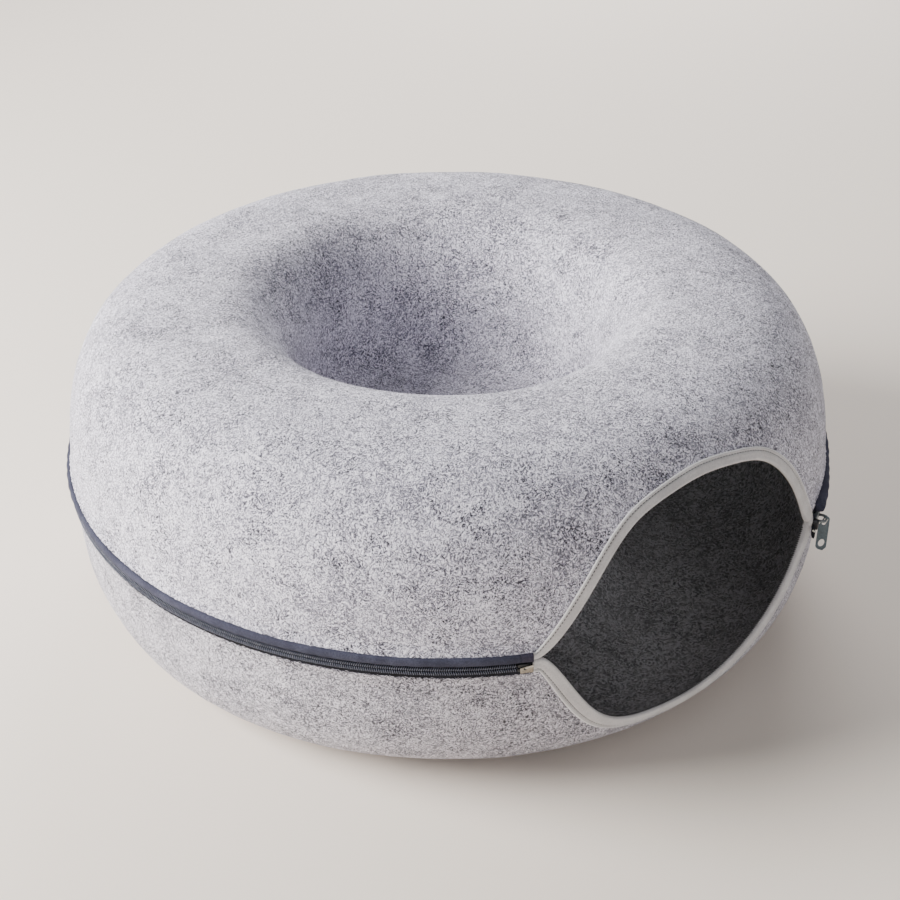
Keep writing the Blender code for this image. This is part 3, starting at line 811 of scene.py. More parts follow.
def build_hem_fold(half, angles, bound, run):
    """The folded edge of the tape, a fine round line where it meets the felt, coloured lighter than the tape
    as a painted highlight.
    """
    points, normals = face_points(half, angles, bound, -HEM_FOLD_RISE - corner_swell(angles))
    sideways = np.cross(unit(np.gradient(points, axis=0)), normals)
    made = tube(half.name + "_hem", points, normals, sideways, HEM_FOLD_RADIUS, HEM_FOLD_SIDES)
    turns = 2 * math.pi * np.arange(HEM_FOLD_SIDES) / HEM_FOLD_SIDES
    metre_map(made, run[:, None], turns * HEM_FOLD_RADIUS)
    dress(made, "pale_edge_painted_highlight", half.name + "_half", "pale_tape")


def build_binding(half):
    angles, edge, bound, run = entrance_curve(half, BINDING_COLUMNS)
    swell_out = corner_swell(angles)
    edge = np.minimum(edge + HIDDEN_EDGE, bound - HIDDEN_EDGE)
    middle, normals, _, into = edge_fold(half, angles, edge)
    rows, across = [], []

    def add_row(share, depth, place, wall_share=0):
        heights = bound + (edge - bound) * share
        wall = WALL * pinched(heights - edge) * wall_share
        rows.append(face_points(half, angles, heights, wall + depth)[0])
        across.append(place)

    for share in OUTER_SHARES:
        add_row(share, -binding_lift(share) - swell_out * min(share / SWELL_RISE_SHARE, 1), share)
    for step in range(1, FOLD_STEPS):
        rows.append(fold_place(middle, normals, into, math.pi * step / FOLD_STEPS, swell_out))
        across.append(1 + FOLD_GIRTH_SHARE * step / FOLD_STEPS)
    inner_end = 2 + FOLD_GIRTH_SHARE
    for share in OUTER_SHARES[::-1]:
        add_row(share, binding_lift(share) * INNER_LIFT_SHARE, inner_end - share, 1)
    for share in (0.0, 0.5, 1.0):
        add_row(share, -TUCK, inner_end + share, 1)
    for share in (1.0, 0.5, 0.0):
        add_row(share, TUCK, inner_end + 1.2 - share)
    sections = np.stack(rows, axis=1)
    centres = sections.mean(axis=1, keepdims=True)
    shrink = np.ones(len(angles))
    for i, (_, share) in enumerate(END_ROUNDING):
        shrink[i] = share
        if half is LOWER:
            shrink[-1 - i] = share
    sections = centres + (sections - centres) * shrink[:, None, None]
    build_hem_fold(half, angles, bound, run)
    if half is UPPER:
        sections, run = with_lobe(sections, run)
    made = swept(half.name + "_binding", sections)
    metre_map(made, run[:, None], np.array(across) * half.binding_width)
    dress(made, "pale_tape", half.name + "_half", "pale_tape", half.name + "_entrance_binding")
    build_stitches(half)


# Stitches and loose threads

STITCH_PITCH = 0.0027
STITCH_LENGTH = 0.0019
STITCH_RADIUS = 0.00045
STITCH_AHEAD = 0.0005
STITCH_REACH_SHARE = 0.995
STITCH_COLUMNS = 3001
FOLD_STITCH_PITCH = 0.0016
FOLD_STITCH_LENGTH = 0.0019
FOLD_STITCH_TURN = math.radians(118)
FOLD_STITCH_REACH_SHARE = 0.985
FOLD_STITCH_SLANT_SHARE = 0.35
THREAD_RINGS = ((-0.5, 0.35), (-0.38, 0.85), (0.0, 1.0), (0.38, 0.85), (0.5, 0.35))
THREAD_SIDES = 6


def thread(centre, direction, normal, length, radius):
    """A small bowed thread, as vertices and faces."""
    side = np.cross(direction, normal)
    vertices = []
    for place, share in THREAD_RINGS:
        bow = (0.25 - place * place) * 2 * radius
        for k in range(THREAD_SIDES):
            turn = 2 * math.pi * k / THREAD_SIDES
            offset = side * math.cos(turn) + normal * math.sin(turn)
            vertices.append(centre + direction * place * length + offset * radius * share + normal * bow)
    faces = grid_faces(len(THREAD_RINGS), THREAD_SIDES, wrap_columns=True)
    last = (len(THREAD_RINGS) - 1) * THREAD_SIDES
    return vertices, faces + [tuple(range(THREAD_SIDES)), tuple(range(last, last + THREAD_SIDES))]


def add_threads(name, threads, material, body, slot):
    vertices, faces = merged(threads)
    made = outward(add_mesh(name, vertices, faces))
    flat = np.array(vertices)
    metre_map(made, flat[:, 0], flat[:, 2])
    dress(made, material, body, slot)


def lock_stitches(half):
    """A row of stitches along the groove beside the hem, near-black as painted shade of their holes."""
    reach = CORNER_ANGLE * STITCH_REACH_SHARE
    fine = np.linspace(-reach, reach, STITCH_COLUMNS)
    edge, bound = edge_heights(half, fine)
    heights = bound + (edge - bound) * GROOVE_SHARE
    points, normals = face_points(half, fine, heights, -binding_lift(GROOVE_SHARE))
    run = run_along(points)
    places = np.arange(STITCH_PITCH, run[-1] - STITCH_PITCH, STITCH_PITCH)
    centres, facing = sampled(places, run, points, normals)
    (ahead,) = sampled(places + STITCH_AHEAD, run, points)
    rows = zip(centres, unit(ahead - centres), facing)
    return [thread(*row, STITCH_LENGTH, STITCH_RADIUS) for row in rows]


def fold_stitches(half):
    """Small overcast stitches across the fold, towards its inner side, near-black as painted shade of their
    holes.
    """
    reach = CORNER_ANGLE * FOLD_STITCH_REACH_SHARE
    fine = np.linspace(-reach, reach, STITCH_COLUMNS)
    edge, bound = edge_heights(half, fine)
    edge = np.minimum(edge + HIDDEN_EDGE, bound - HIDDEN_EDGE)
    middle, normals, tangents, into = edge_fold(half, fine, edge)
    turn = FOLD_STITCH_TURN
    places = fold_place(middle, normals, into, turn)
    facing = into * math.sin(turn) + normals * math.cos(turn)
    run = run_along(places)
    at = np.arange(FOLD_STITCH_PITCH, run[-1] - FOLD_STITCH_PITCH, FOLD_STITCH_PITCH)
    centres, facing, tangents = sampled(at, run, places, facing, tangents)
    directions = unit(np.cross(tangents, facing) + tangents * FOLD_STITCH_SLANT_SHARE)
    return [thread(*row, FOLD_STITCH_LENGTH, STITCH_RADIUS) for row in zip(centres, directions, facing)]


def build_stitches(half):
    # The stitches are near-black: painted shade of their needle holes
    threads = lock_stitches(half) + fold_stitches(half)
    add_threads(half.name + "_binding_stitches", threads, "stitch_painted_shade", half.name + "_half", "pale_tape")


# The zip and its welt

TAPE_RADIUS = 0.3007
TAPE_FACE_RADIUS = 0.3014
TAPE_NEAR = 0.00012
TAPE_SLANT = 0.0004
UPPER_TAPE_TOP = 0.0055
LOWER_TAPE_DROP = 0.0120
COIL_RADIUS = 0.3017
COIL_FACE_RADIUS = 0.3039
COIL_NEAR = 0.00045
COIL_FAR = 0.0030
COIL_WIRE = 0.00027
COIL_TURN_POINTS = 12
COIL_SIDES = 6
COIL_POWER = 0.7
TOOTH_PITCH = 0.0015
TOOTH_OFFSET_SHARE = 0.25
TOOTH_HEAD_SHARE = 0.35
CORD_SHARES = (0.6, 0.55)
CORD_CORNER = 0.0003
STOP_LENGTH = 0.0042
END_TAB_LENGTH = 0.0105
ZIP_STEPS = 480
ZIP_START = CORNER_ANGLE + along(GAP)
ZIP_END = 2 * math.pi - ZIP_START
STOP_START = ZIP_START + along(GAP)
COIL_START = STOP_START + along(STOP_LENGTH + GAP)
COIL_END = ZIP_END - along(END_TAB_LENGTH)
WELT_RADIUS = 0.3017
WELT_FACE_RADIUS = 0.3050
WELT_HEIGHTS = (-0.0003, 0.0062)
WELT_POWERS = (0.6, 0.8)
WELT_STEPS = 16
WELT_INSET = 0.0125
WELT_START = ZIP_START + along(WELT_INSET)
WELT_END_LENGTH = 0.0080
WELT_END_STEPS = 12
WELT_FLARE = 0.0046
WELT_FLARE_SPAN = 0.072
WELT_FLARE_POWER = 1.3
PUCKER_DEPTH = 0.00022
PUCKERS = ((0.0135, 1.7, 31), (0.087, 2.3, 7))
PUCKER_DROP_SHARE = 0.7
FUZZ_PITCH = 0.0011
FUZZ_PLACE_SHARES = (0.1, 0.9)
FUZZ_LENGTHS = (0.0008, 0.0022)
FUZZ_RISE_SHARE = 0.25
FUZZ_RADIUS = 0.00013
FUZZ_LEAN = 0.7
FUZZ_ROOTS = (-0.0004, 0.0002)
FUZZ_DEPTH = 0.0004
FUZZ_END_GAP = 0.0015


def arc(centre, radius, first, last, steps=10):
    turns = np.linspace(first, last, steps + 1)
    return [(centre[0] + radius * math.cos(t), centre[1] + radius * math.sin(t)) for t in turns]


def band(name, section, start, end, steps, ripple=None):
    """A band along the zip: an outline of (radius, z) carried round the ring, with its map in metres."""
    angles = np.linspace(start, end, steps + 1)
    outline = np.asarray(section, float)
    radii, heights = (np.tile(outline[:, k], (len(angles), 1)) for k in (0, 1))
    if ripple is not None:
        radii, heights = ripple(angles[:, None], radii, heights)
    made = swept(name, to_world(radii, angles[:, None], heights))
    loop = np.linalg.norm(np.roll(outline, -1, axis=0) - outline, axis=1)
    girth = np.concatenate([[0], np.cumsum(loop)[:-1]])
    metre_map(made, (angles - start)[:, None] * FELT_RADIUS, girth)
    return made


def rounded_box(low, high, corner, steps=3):
    """Corners of an upright rectangle of (radius, z), each rounded."""
    (r0, z0), (r1, z1) = low, high
    left, right, bottom, top = r0 + corner, r1 - corner, z0 + corner, z1 - corner
    points = []
    centres = ((right, bottom), (right, top), (left, top), (left, bottom))
    for quarter, centre in enumerate(centres, start=-1):
        points += arc(centre, corner, math.pi / 2 * quarter, math.pi / 2 * (quarter + 1), steps)
    return points


def build_coil(name, side, body, replaced):
    """One row of the zip's teeth: a flattened helix of nylon round a cord, thicker at each tooth's head,
    coloured lighter than the black nylon as painted glints.
    """
    turns = int((COIL_END - COIL_START) * COIL_RADIUS / TOOTH_PITCH)
    t = np.arange(turns * COIL_TURN_POINTS + 1) / COIL_TURN_POINTS
    phase = 2 * math.pi * t
    half_z = (COIL_FAR - COIL_NEAR) / 2 - COIL_WIRE
    half_r = (COIL_FACE_RADIUS - COIL_RADIUS) / 2 - COIL_WIRE
    middle_z = ZIP_Z + side * (COIL_FAR + COIL_NEAR) / 2
    middle_r = (COIL_FACE_RADIUS + COIL_RADIUS) / 2
    offset = 0 if side > 0 else TOOTH_OFFSET_SHARE
    angle = COIL_START + along(TOOTH_PITCH, COIL_RADIUS) * (t + offset)
    z = middle_z - side * half_z * signed_power(np.cos(phase), COIL_POWER)
    centre = to_world(middle_r + half_r * np.sin(phase), angle, z)
    tangent = unit(np.gradient(centre, axis=0))
    ring_way = np.stack([np.cos(angle), np.sin(angle), np.zeros_like(angle)], axis=1)
    first = unit(np.cross(tangent, ring_way))
    head = 1 + TOOTH_HEAD_SHARE * np.clip(np.cos(phase), 0, 1) ** 4
    made = tube(name, centre, first, np.cross(tangent, first), (COIL_WIRE * head)[:, None], COIL_SIDES)
    dress(made, "nylon_teeth_painted_glints", body, "black_nylon", replaced)

    behind, beside = CORD_SHARES
    low = (middle_r - half_r * behind, middle_z - half_z * beside)
    core = rounded_box(low, (middle_r + half_r * beside, middle_z + half_z * beside), CORD_CORNER)
    dress(band(name + "_cord", core, COIL_START, COIL_END, ZIP_STEPS), "black_cord", body, "zip_tape")


def welt_section():
    """The welt's padded outline: flat behind, rounded in front, fuller towards its top."""
    bottom, top = (EQUATOR_Z + height for height in WELT_HEIGHTS)
    middle, reach = (bottom + top) / 2, (top - bottom) / 2
    depth = WELT_FACE_RADIUS - WELT_RADIUS
    points = []
    for turn in -math.pi / 2 + math.pi * np.arange(WELT_STEPS + 1) / WELT_STEPS:
        across, up = abs(math.cos(turn)) ** WELT_POWERS[0], signed_power(math.sin(turn), WELT_POWERS[1])
        points.append((WELT_RADIUS + depth * across, middle + reach * up))
    return points


def welt_ripple(angles, radii, heights):
    """Soft puckers along the welt where its seam pulls, and a flare where it opens over the slider."""
    share = (radii - WELT_RADIUS) / (WELT_FACE_RADIUS - WELT_RADIUS)
    run = angles * FELT_RADIUS
    waves = [run * 2 * math.pi / length + wander * np.sin(run * rate) for length, wander, rate in PUCKERS]
    pull, slow = (PUCKER_DEPTH * np.sin(wave) for wave in waves)
    left = 1 - (angles - WELT_START) * FELT_RADIUS / WELT_FLARE_SPAN
    flare = WELT_FLARE * np.clip(left, 0, 1) ** WELT_FLARE_POWER
    return radii + (pull + slow + flare) * share, heights + slow * PUCKER_DROP_SHARE


def build_welt_fuzz_and_shade(start, end):
    """Loose dark threads that stick up from the welt's seam over the felt: partly loose fibres, partly
    painted shade along the welt's top.
    """
    chance = np.random.default_rng(11)
    count = int((end - start) * FELT_RADIUS / FUZZ_PITCH)
    angles = start + (end - start) * (np.arange(count) + chance.uniform(*FUZZ_PLACE_SHARES, count)) / count
    lengths = chance.uniform(*FUZZ_LENGTHS, count)
    heights = WELT_HEIGHTS[1] + lengths * FUZZ_RISE_SHARE + chance.uniform(*FUZZ_ROOTS, count)
    points, normals = face_points(UPPER, angles, heights, -FUZZ_DEPTH)
    ring_way = np.stack([np.cos(angles), np.sin(angles), np.zeros(count)], axis=1)
    rising = np.cross(ring_way, normals)
    rising *= np.sign(rising[:, 2:])
    directions = unit(rising + ring_way * chance.normal(0, FUZZ_LEAN, count)[:, None])
    threads = [thread(*row, FUZZ_RADIUS) for row in zip(points, directions, normals, lengths)]
    add_threads("welt_threads_and_shade", threads, "dark_fold", "upper_half", "dark_fold")


def build_zip():
    top, bottom = EQUATOR_Z + UPPER_TAPE_TOP, EQUATOR_Z - LOWER_TAPE_DROP
    inner, outer = ZIP_Z - TAPE_SLANT, ZIP_Z + TAPE_SLANT
    upper_tape = [(TAPE_RADIUS, inner + TAPE_NEAR), (TAPE_FACE_RADIUS, outer + TAPE_NEAR)]
    upper_tape += [(TAPE_FACE_RADIUS, top), (TAPE_RADIUS, top)]
    lower_tape = [(TAPE_FACE_RADIUS, outer - TAPE_NEAR), (TAPE_RADIUS, inner - TAPE_NEAR)]
    lower_tape += [(TAPE_RADIUS, bottom), (TAPE_FACE_RADIUS, bottom)]
    for half, section in (("upper", upper_tape), ("lower", lower_tape)):
        made = band(half + "_tape", section, ZIP_START, ZIP_END, ZIP_STEPS)
        dress(made, "zip_tape", half + "_half", "zip_tape", half + "_zip_tape")
    for half, side in (("upper", 1), ("lower", -1)):
        build_coil(half + "_teeth", side, half + "_half", half + "_zip_coil")

    fold_start = ZIP_END - along(WELT_END_LENGTH)
    welt = band("welt", welt_section(), WELT_START, fold_start - along(GAP), 2 * ZIP_STEPS, welt_ripple)
    dress(welt, "slate_welt", "upper_half", "slate_welt", "zip_welt")
    build_welt_fuzz_and_shade(WELT_START, ZIP_END - along(FUZZ_END_GAP))
    cap = band("welt_end", welt_section(), fold_start, ZIP_END, WELT_END_STEPS)
    dress(cap, "dark_fold", "upper_half", "dark_fold", "welt_end_cap")


# Shapes of the small castings and moulded pieces

BRIDGE_RADIUS = math.hypot(PIVOT.x - AXIS.x, PIVOT.y - AXIS.y)
SLIDER_ANGLE = math.atan2(PIVOT.x - AXIS.x, AXIS.y - PIVOT.y)
MERGE_DISTANCE = 0.00001
SHARP_ANGLE = math.radians(40)


def grown(loop, distance):
    """The loop moved outwards by a distance, or inwards by a negative one."""
    points = np.array(loop)
    ahead, behind = np.roll(points, -1, axis=0) - points, points - np.roll(points, 1, axis=0)
    area = np.sum(points[:, 0] * np.roll(points[:, 1], -1) - points[:, 1] * np.roll(points[:, 0], -1))
    normals = sum(unit(np.stack([way[:, 1], -way[:, 0]], axis=1)) for way in (ahead, behind))
    return points + unit(normals) * distance * math.copysign(1, area)


def taken(shape):
    """A bmesh's vertices and faces; the bmesh is freed."""
    shape.verts.index_update()
    vertices = np.array([tuple(v.co) for v in shape.verts])
    faces = [tuple(v.index for v in face.verts) for face in shape.faces]
    shape.free()
    return vertices, faces


def plate(outline, holes, thickness, bevel):
    """Vertices and faces of a flat plate with rounded edges, in its own plane."""
    curve = bpy.data.curves.new("plate", "CURVE")
    curve.dimensions = "2D"
    curve.fill_mode = "BOTH"
    curve.extrude = thickness / 2 - bevel
    curve.bevel_depth = bevel
    curve.bevel_resolution = 2
    for loop in [grown(outline, -bevel)] + [grown(hole, bevel) for hole in holes]:
        path = curve.splines.new("POLY")
        path.points.add(len(loop) - 1)
        for point, (x, y) in zip(path.points, loop):
            point.co = (x, y, 0, 1)
        path.use_cyclic_u = True
    made = bpy.data.objects.new("plate", curve)
    bpy.context.scene.collection.objects.link(made)
    mesh = bpy.data.meshes.new_from_object(made)
    bpy.data.objects.remove(made)
    shape = bmesh.new()
    shape.from_mesh(mesh)
    bmesh.ops.remove_doubles(shape, verts=shape.verts, dist=MERGE_DISTANCE)
    bpy.data.meshes.remove(mesh)
    return taken(shape)


def block(low, high, bevel):
    """Vertices and faces of a box with rounded edges, in its own directions."""
    shape = bmesh.new()
    bmesh.ops.create_cube(shape, size=1)
    size, middle = np.subtract(high, low), np.add(high, low) / 2
    for vertex in shape.verts:
        vertex.co = Vector(middle + np.array(vertex.co) * size)
    bmesh.ops.bevel(shape, geom=shape.edges[:], offset=bevel, segments=3, profile=0.5, affect="EDGES")
    return taken(shape)


def zip_place(along_zip, radius, z, angle=SLIDER_ANGLE):
    """Points in the frame from places along the zip, outwards and up, straight from one angle of it."""
    x, y = np.cos(angle), np.sin(angle)
    along_zip, radius, z = np.broadcast_arrays(along_zip, radius, z)
    return np.stack([AXIS.x + along_zip * x + radius * y, AXIS.y + along_zip * y - radius * x, z], axis=-1)


def joined(name, parts):
    """One object from several closed shells, with its hard edges kept."""
    made = outward(add_mesh(name, *merged(parts)))
    made.data.set_sharp_from_angle(angle=SHARP_ANGLE)
    return made


# The zip's ends: stops, pin, boxes, the tail with its rivet, and the tan tab

PIN_LENGTH = 0.0070
RETAINER_LENGTH = 0.0050
MOULDED_BEVEL = 0.0004
END_BOX_LENGTH = 0.0057
END_BOX_HEIGHT = 0.0062
END_BOX_RADII = (0.3042, 0.3087)
END_BOX_BEVEL = 0.0006
TAIL_LENGTH = 0.0105
TAIL_ROOT_SHARE = 0.04
TAIL_STATIONS = 15
TAIL_HALF_WIDTHS = (0.0021, 0.0013)
TAIL_TIP_SHARE = 0.15
TAIL_TIP_NARROWING = 0.35
TAIL_HALF_THICKNESS = 0.0004
TAIL_DROOP = 0.0030
TAIL_LEAN = 0.0022
TAIL_POWERS = (1.4, 1.6, 1.5)
TAIL_CORNER_SHARE = 0.5
TAIL_TWISTS = (math.radians(20), math.radians(62))
EYELET_BACK = 0.0054
EYELET_RADIUS = 0.0011
EYELET_HEIGHT = 0.0005
EYELET_RINGS = ((0.0, 1.0), (0.35, 1.0), (0.8, 0.8), (1.0, 0.5), (0.75, 0.28), (0.45, 0.2))
EYELET_SIDES = 24
TAN_START = 0.0018
TAN_HEIGHTS = (-0.0082, -0.0040, -0.0020)
TAN_RADIUS = 0.3043
TAN_THICKNESS = 0.0005
TAN_STEPS = 14
TAN_WAVE = 0.00012
TAN_WAVE_TURN = 9.0
TAN_CORNER_SHARE = 0.45
TAN_FOLD_HEIGHT = 0.0011
TAN_FOLD_START_SHARE = 0.35
SNAP_SHARE = 0.33
SNAP_RADIUS = 0.00085
SNAP_RINGS = ((-0.4, 1.0), (0.3, 1.0), (0.6, 0.75), (0.7, 0.4))
SNAP_SIDES = 16


def circle(sides):
    turns = np.linspace(0, 2 * math.pi, sides + 1)[:-1]
    return np.cos(turns)[:, None], np.sin(turns)[:, None]


def moulded_block(name, span, radii, heights, bevel, body, replaced):
    """A small moulded piece on the zip: a bevelled block between two angles, radii and heights."""
    half_length = (span[1] - span[0]) * FELT_RADIUS / 2
    points, faces = block((-half_length, radii[0], heights[0]), (half_length, radii[1], heights[1]), bevel)
    made = joined(name, [(zip_place(*points.T, sum(span) / 2), faces)])
    dress(made, "black_nylon", body, "black_nylon", replaced)


def build_zip_ends():
    upper, lower = (ZIP_Z + COIL_NEAR, ZIP_Z + COIL_FAR), (ZIP_Z - COIL_FAR, ZIP_Z - COIL_NEAR)
    far = COIL_END + along(GAP)
    for name, start, length, heights, body, replaced in (
        ("stop_upper", STOP_START, STOP_LENGTH, upper, "upper_half", "upper_top_stop"),
        ("stop_lower", STOP_START, STOP_LENGTH, lower, "lower_half", "lower_top_stop"),
        ("pin", far, PIN_LENGTH, upper, "upper_half", "insertion_pin"),
        ("pin_box", far, RETAINER_LENGTH, lower, "lower_half", "retainer_box"),
    ):
        span, radii = (start, start + along(length)), (COIL_RADIUS, COIL_FACE_RADIUS)
        moulded_block(name, span, radii, heights, MOULDED_BEVEL, body, replaced)
    end = COIL_START - along(GAP)
    root = end - along(END_BOX_LENGTH)
    span, heights = (root, end), (ZIP_Z - END_BOX_HEIGHT / 2, ZIP_Z + END_BOX_HEIGHT / 2)
    moulded_block("end_box", span, END_BOX_RADII, heights, END_BOX_BEVEL, "lower_half", "zip_end_box")
    build_tail(root)
    build_tan_tab()


def tail_frame(share, root):
    """The tail's middle, its width's direction and its face's direction at a share of its length."""
    out, down, _ = TAIL_POWERS
    middle = sum(END_BOX_RADII) / 2 + TAIL_LEAN * share**out
    centre = zip_place(-TAIL_LENGTH * share, middle, ZIP_Z - TAIL_DROOP * share**down, root)
    outwards = zip_place(0, 1, 0, root) - zip_place(0, 0, 0, root)
    turn = TAIL_TWISTS[0] + (TAIL_TWISTS[1] - TAIL_TWISTS[0]) * min(2 * share, 1)
    up = np.array([0, 0, 1.0])
    width = up * math.cos(turn) - outwards * math.sin(turn)
    return centre, width, outwards * math.cos(turn) + up * math.sin(turn)


def build_tail(root):
    sections, stations = [], np.linspace(-TAIL_ROOT_SHARE, 1, TAIL_STATIONS)
    outline = rounded_box((-1, -1), (1, 1), TAIL_CORNER_SHARE, 2)
    wide, narrow = TAIL_HALF_WIDTHS
    for share in stations:
        centre, width, face = tail_frame(max(share, 0), root)
        centre = centre + (zip_place(-TAIL_LENGTH, 0, 0, root) - zip_place(0, 0, 0, root)) * min(share, 0)
        half_width = wide + (narrow - wide) * max(share, 0) ** TAIL_POWERS[2]
        half_width *= 1 - TAIL_TIP_NARROWING * max(share - 1 + TAIL_TIP_SHARE, 0) / TAIL_TIP_SHARE
        thick = face * TAIL_HALF_THICKNESS
        sections.append([centre + thick * f + width * w * half_width for f, w in outline])
    made = swept("tail", sections)
    metre_map(made, (stations * TAIL_LENGTH)[:, None], np.array([w * wide for _, w in outline]))
    dress(made, "zip_tape", "lower_half", "zip_tape", "zip_tail")

    centre, width, face = tail_frame(EYELET_BACK / TAIL_LENGTH, root)
    across, up = circle(EYELET_SIDES)
    spokes = (np.cross(width, face) * across + width * up) * EYELET_RADIUS
    rings = []
    for rise, share in EYELET_RINGS:
        rings.append(centre + face * (TAIL_HALF_THICKNESS + rise * EYELET_HEIGHT) + spokes * share)
    dress(swept("eyelet", rings), "bright_metal", "lower_half", "bright_metal", "tail_eyelet")


def add_strip(name, span, bottoms, tops, radius, material, *replaced):
    """A thin strip along the zip whose edges may slope."""
    rows, u, v = [], [], []
    for share in np.linspace(0, 1, TAN_STEPS + 1):
        angle, low, high = (ends[0] + (ends[1] - ends[0]) * share for ends in (span, bottoms, tops))
        near = radius + TAN_WAVE * math.sin(TAN_WAVE_TURN * share)
        corner = TAN_CORNER_SHARE * TAN_THICKNESS
        outline = rounded_box((near, low), (near + TAN_THICKNESS, high), corner, 2)
        rows.append([to_world(r, angle, EQUATOR_Z + z) for r, z in outline])
        u.append([angle * FELT_RADIUS] * len(outline))
        v.append([z for _, z in outline])
    made = swept(name, rows)
    metre_map(made, np.array(u), np.array(v))
    dress(made, material, "lower_half", "tan_tab", *replaced)


def build_tan_tab():
    start = COIL_END + along(TAN_START)
    low, left, right = TAN_HEIGHTS
    add_strip("end_tab", (start, ZIP_END), (low, low), (left, right), TAN_RADIUS, "tan_tab", "zip_end_tab")
    fold = start + (ZIP_END - start) * TAN_FOLD_START_SHARE
    sloped = left + (right - left) * TAN_FOLD_START_SHARE
    bottoms = (sloped - TAN_FOLD_HEIGHT, right - TAN_FOLD_HEIGHT)
    face = TAN_RADIUS + TAN_THICKNESS
    add_strip("end_tab_fold", (fold, ZIP_END), bottoms, (sloped, right), face, "tan_fold")
    angle = start + (ZIP_END - start) * SNAP_SHARE
    x, z = (SNAP_RADIUS * side.ravel() for side in circle(SNAP_SIDES))
    middle = ZIP_Z - COIL_NEAR / 2
    rings = []
    for rise, share in SNAP_RINGS:
        rings.append(zip_place(x * share, face + rise * SNAP_RADIUS, middle + z * share, angle))
    dress(swept("end_tab_dot", rings), "black_nylon", "lower_half", "black_nylon")


# The slider, its bridge and its pull tab

SLIDER_HALF_LENGTH = 0.0060
SLIDER_HALF_HEIGHT = 0.0038
SLIDER_TAIL_HALF_HEIGHT = 0.0031
SLIDER_TAIL_CORNER = 0.0013
LOBE_RADIUS = 0.0019
PLATE_RADII = (0.30435, 0.30555)
BACK_PLATE_RADII = (0.29905, 0.30025)
FLANGE_RADII = (0.30165, 0.30480)
FLANGE_THICKNESS = 0.0008
POST_HALF_THICKNESS = 0.0004
POST_WEB_HALF_THICKNESS = 0.00008
POST_LENGTH = 0.0035
CASTING_BEVEL = 0.00025
FINE_BEVEL_SHARE = 0.8
LOBE_ANGLES = (math.radians(105), math.radians(255))
BRIDGE_HALF_SPAN = 0.0042
BRIDGE_HALF_WIDTH = 0.0010
BRIDGE_FOOT_SHARE = 1.5
BRIDGE_HALF_THICKNESS = 0.0008
BRIDGE_STEPS = 32
BRIDGE_SIDES = 12
BRIDGE_POWER = 0.7
TAB_THICKNESS = 0.0012
TAB_WIDTH = 0.0080
TAB_LENGTH = 0.0309
TAB_HEAD = 0.0026
TAB_NECK_WIDTH = 0.0058
TAB_NECK_LENGTH = 0.0060
TAB_SHOULDER = 0.0044
TAB_CORNER = 0.0031
TAB_CHAMFER = 0.0024
TAB_BEVEL = 0.0002
TAB_BORDER = 0.0008
TAB_PANEL_DEPTH = 0.00018
SLOT_RIM_SHARE = 0.7
EYE_RIM_SHARE = 0.8
TAB_SLOT_RADIUS = 0.0013
TAB_SLOT_RUN = 0.0050
TAB_SLOT_TILT = math.radians(20)
TAB_EYE_RADII = (0.0021, 0.0039)
TAB_EYE_RISE = 0.0064
TAB_EYE_TILT = math.radians(17)


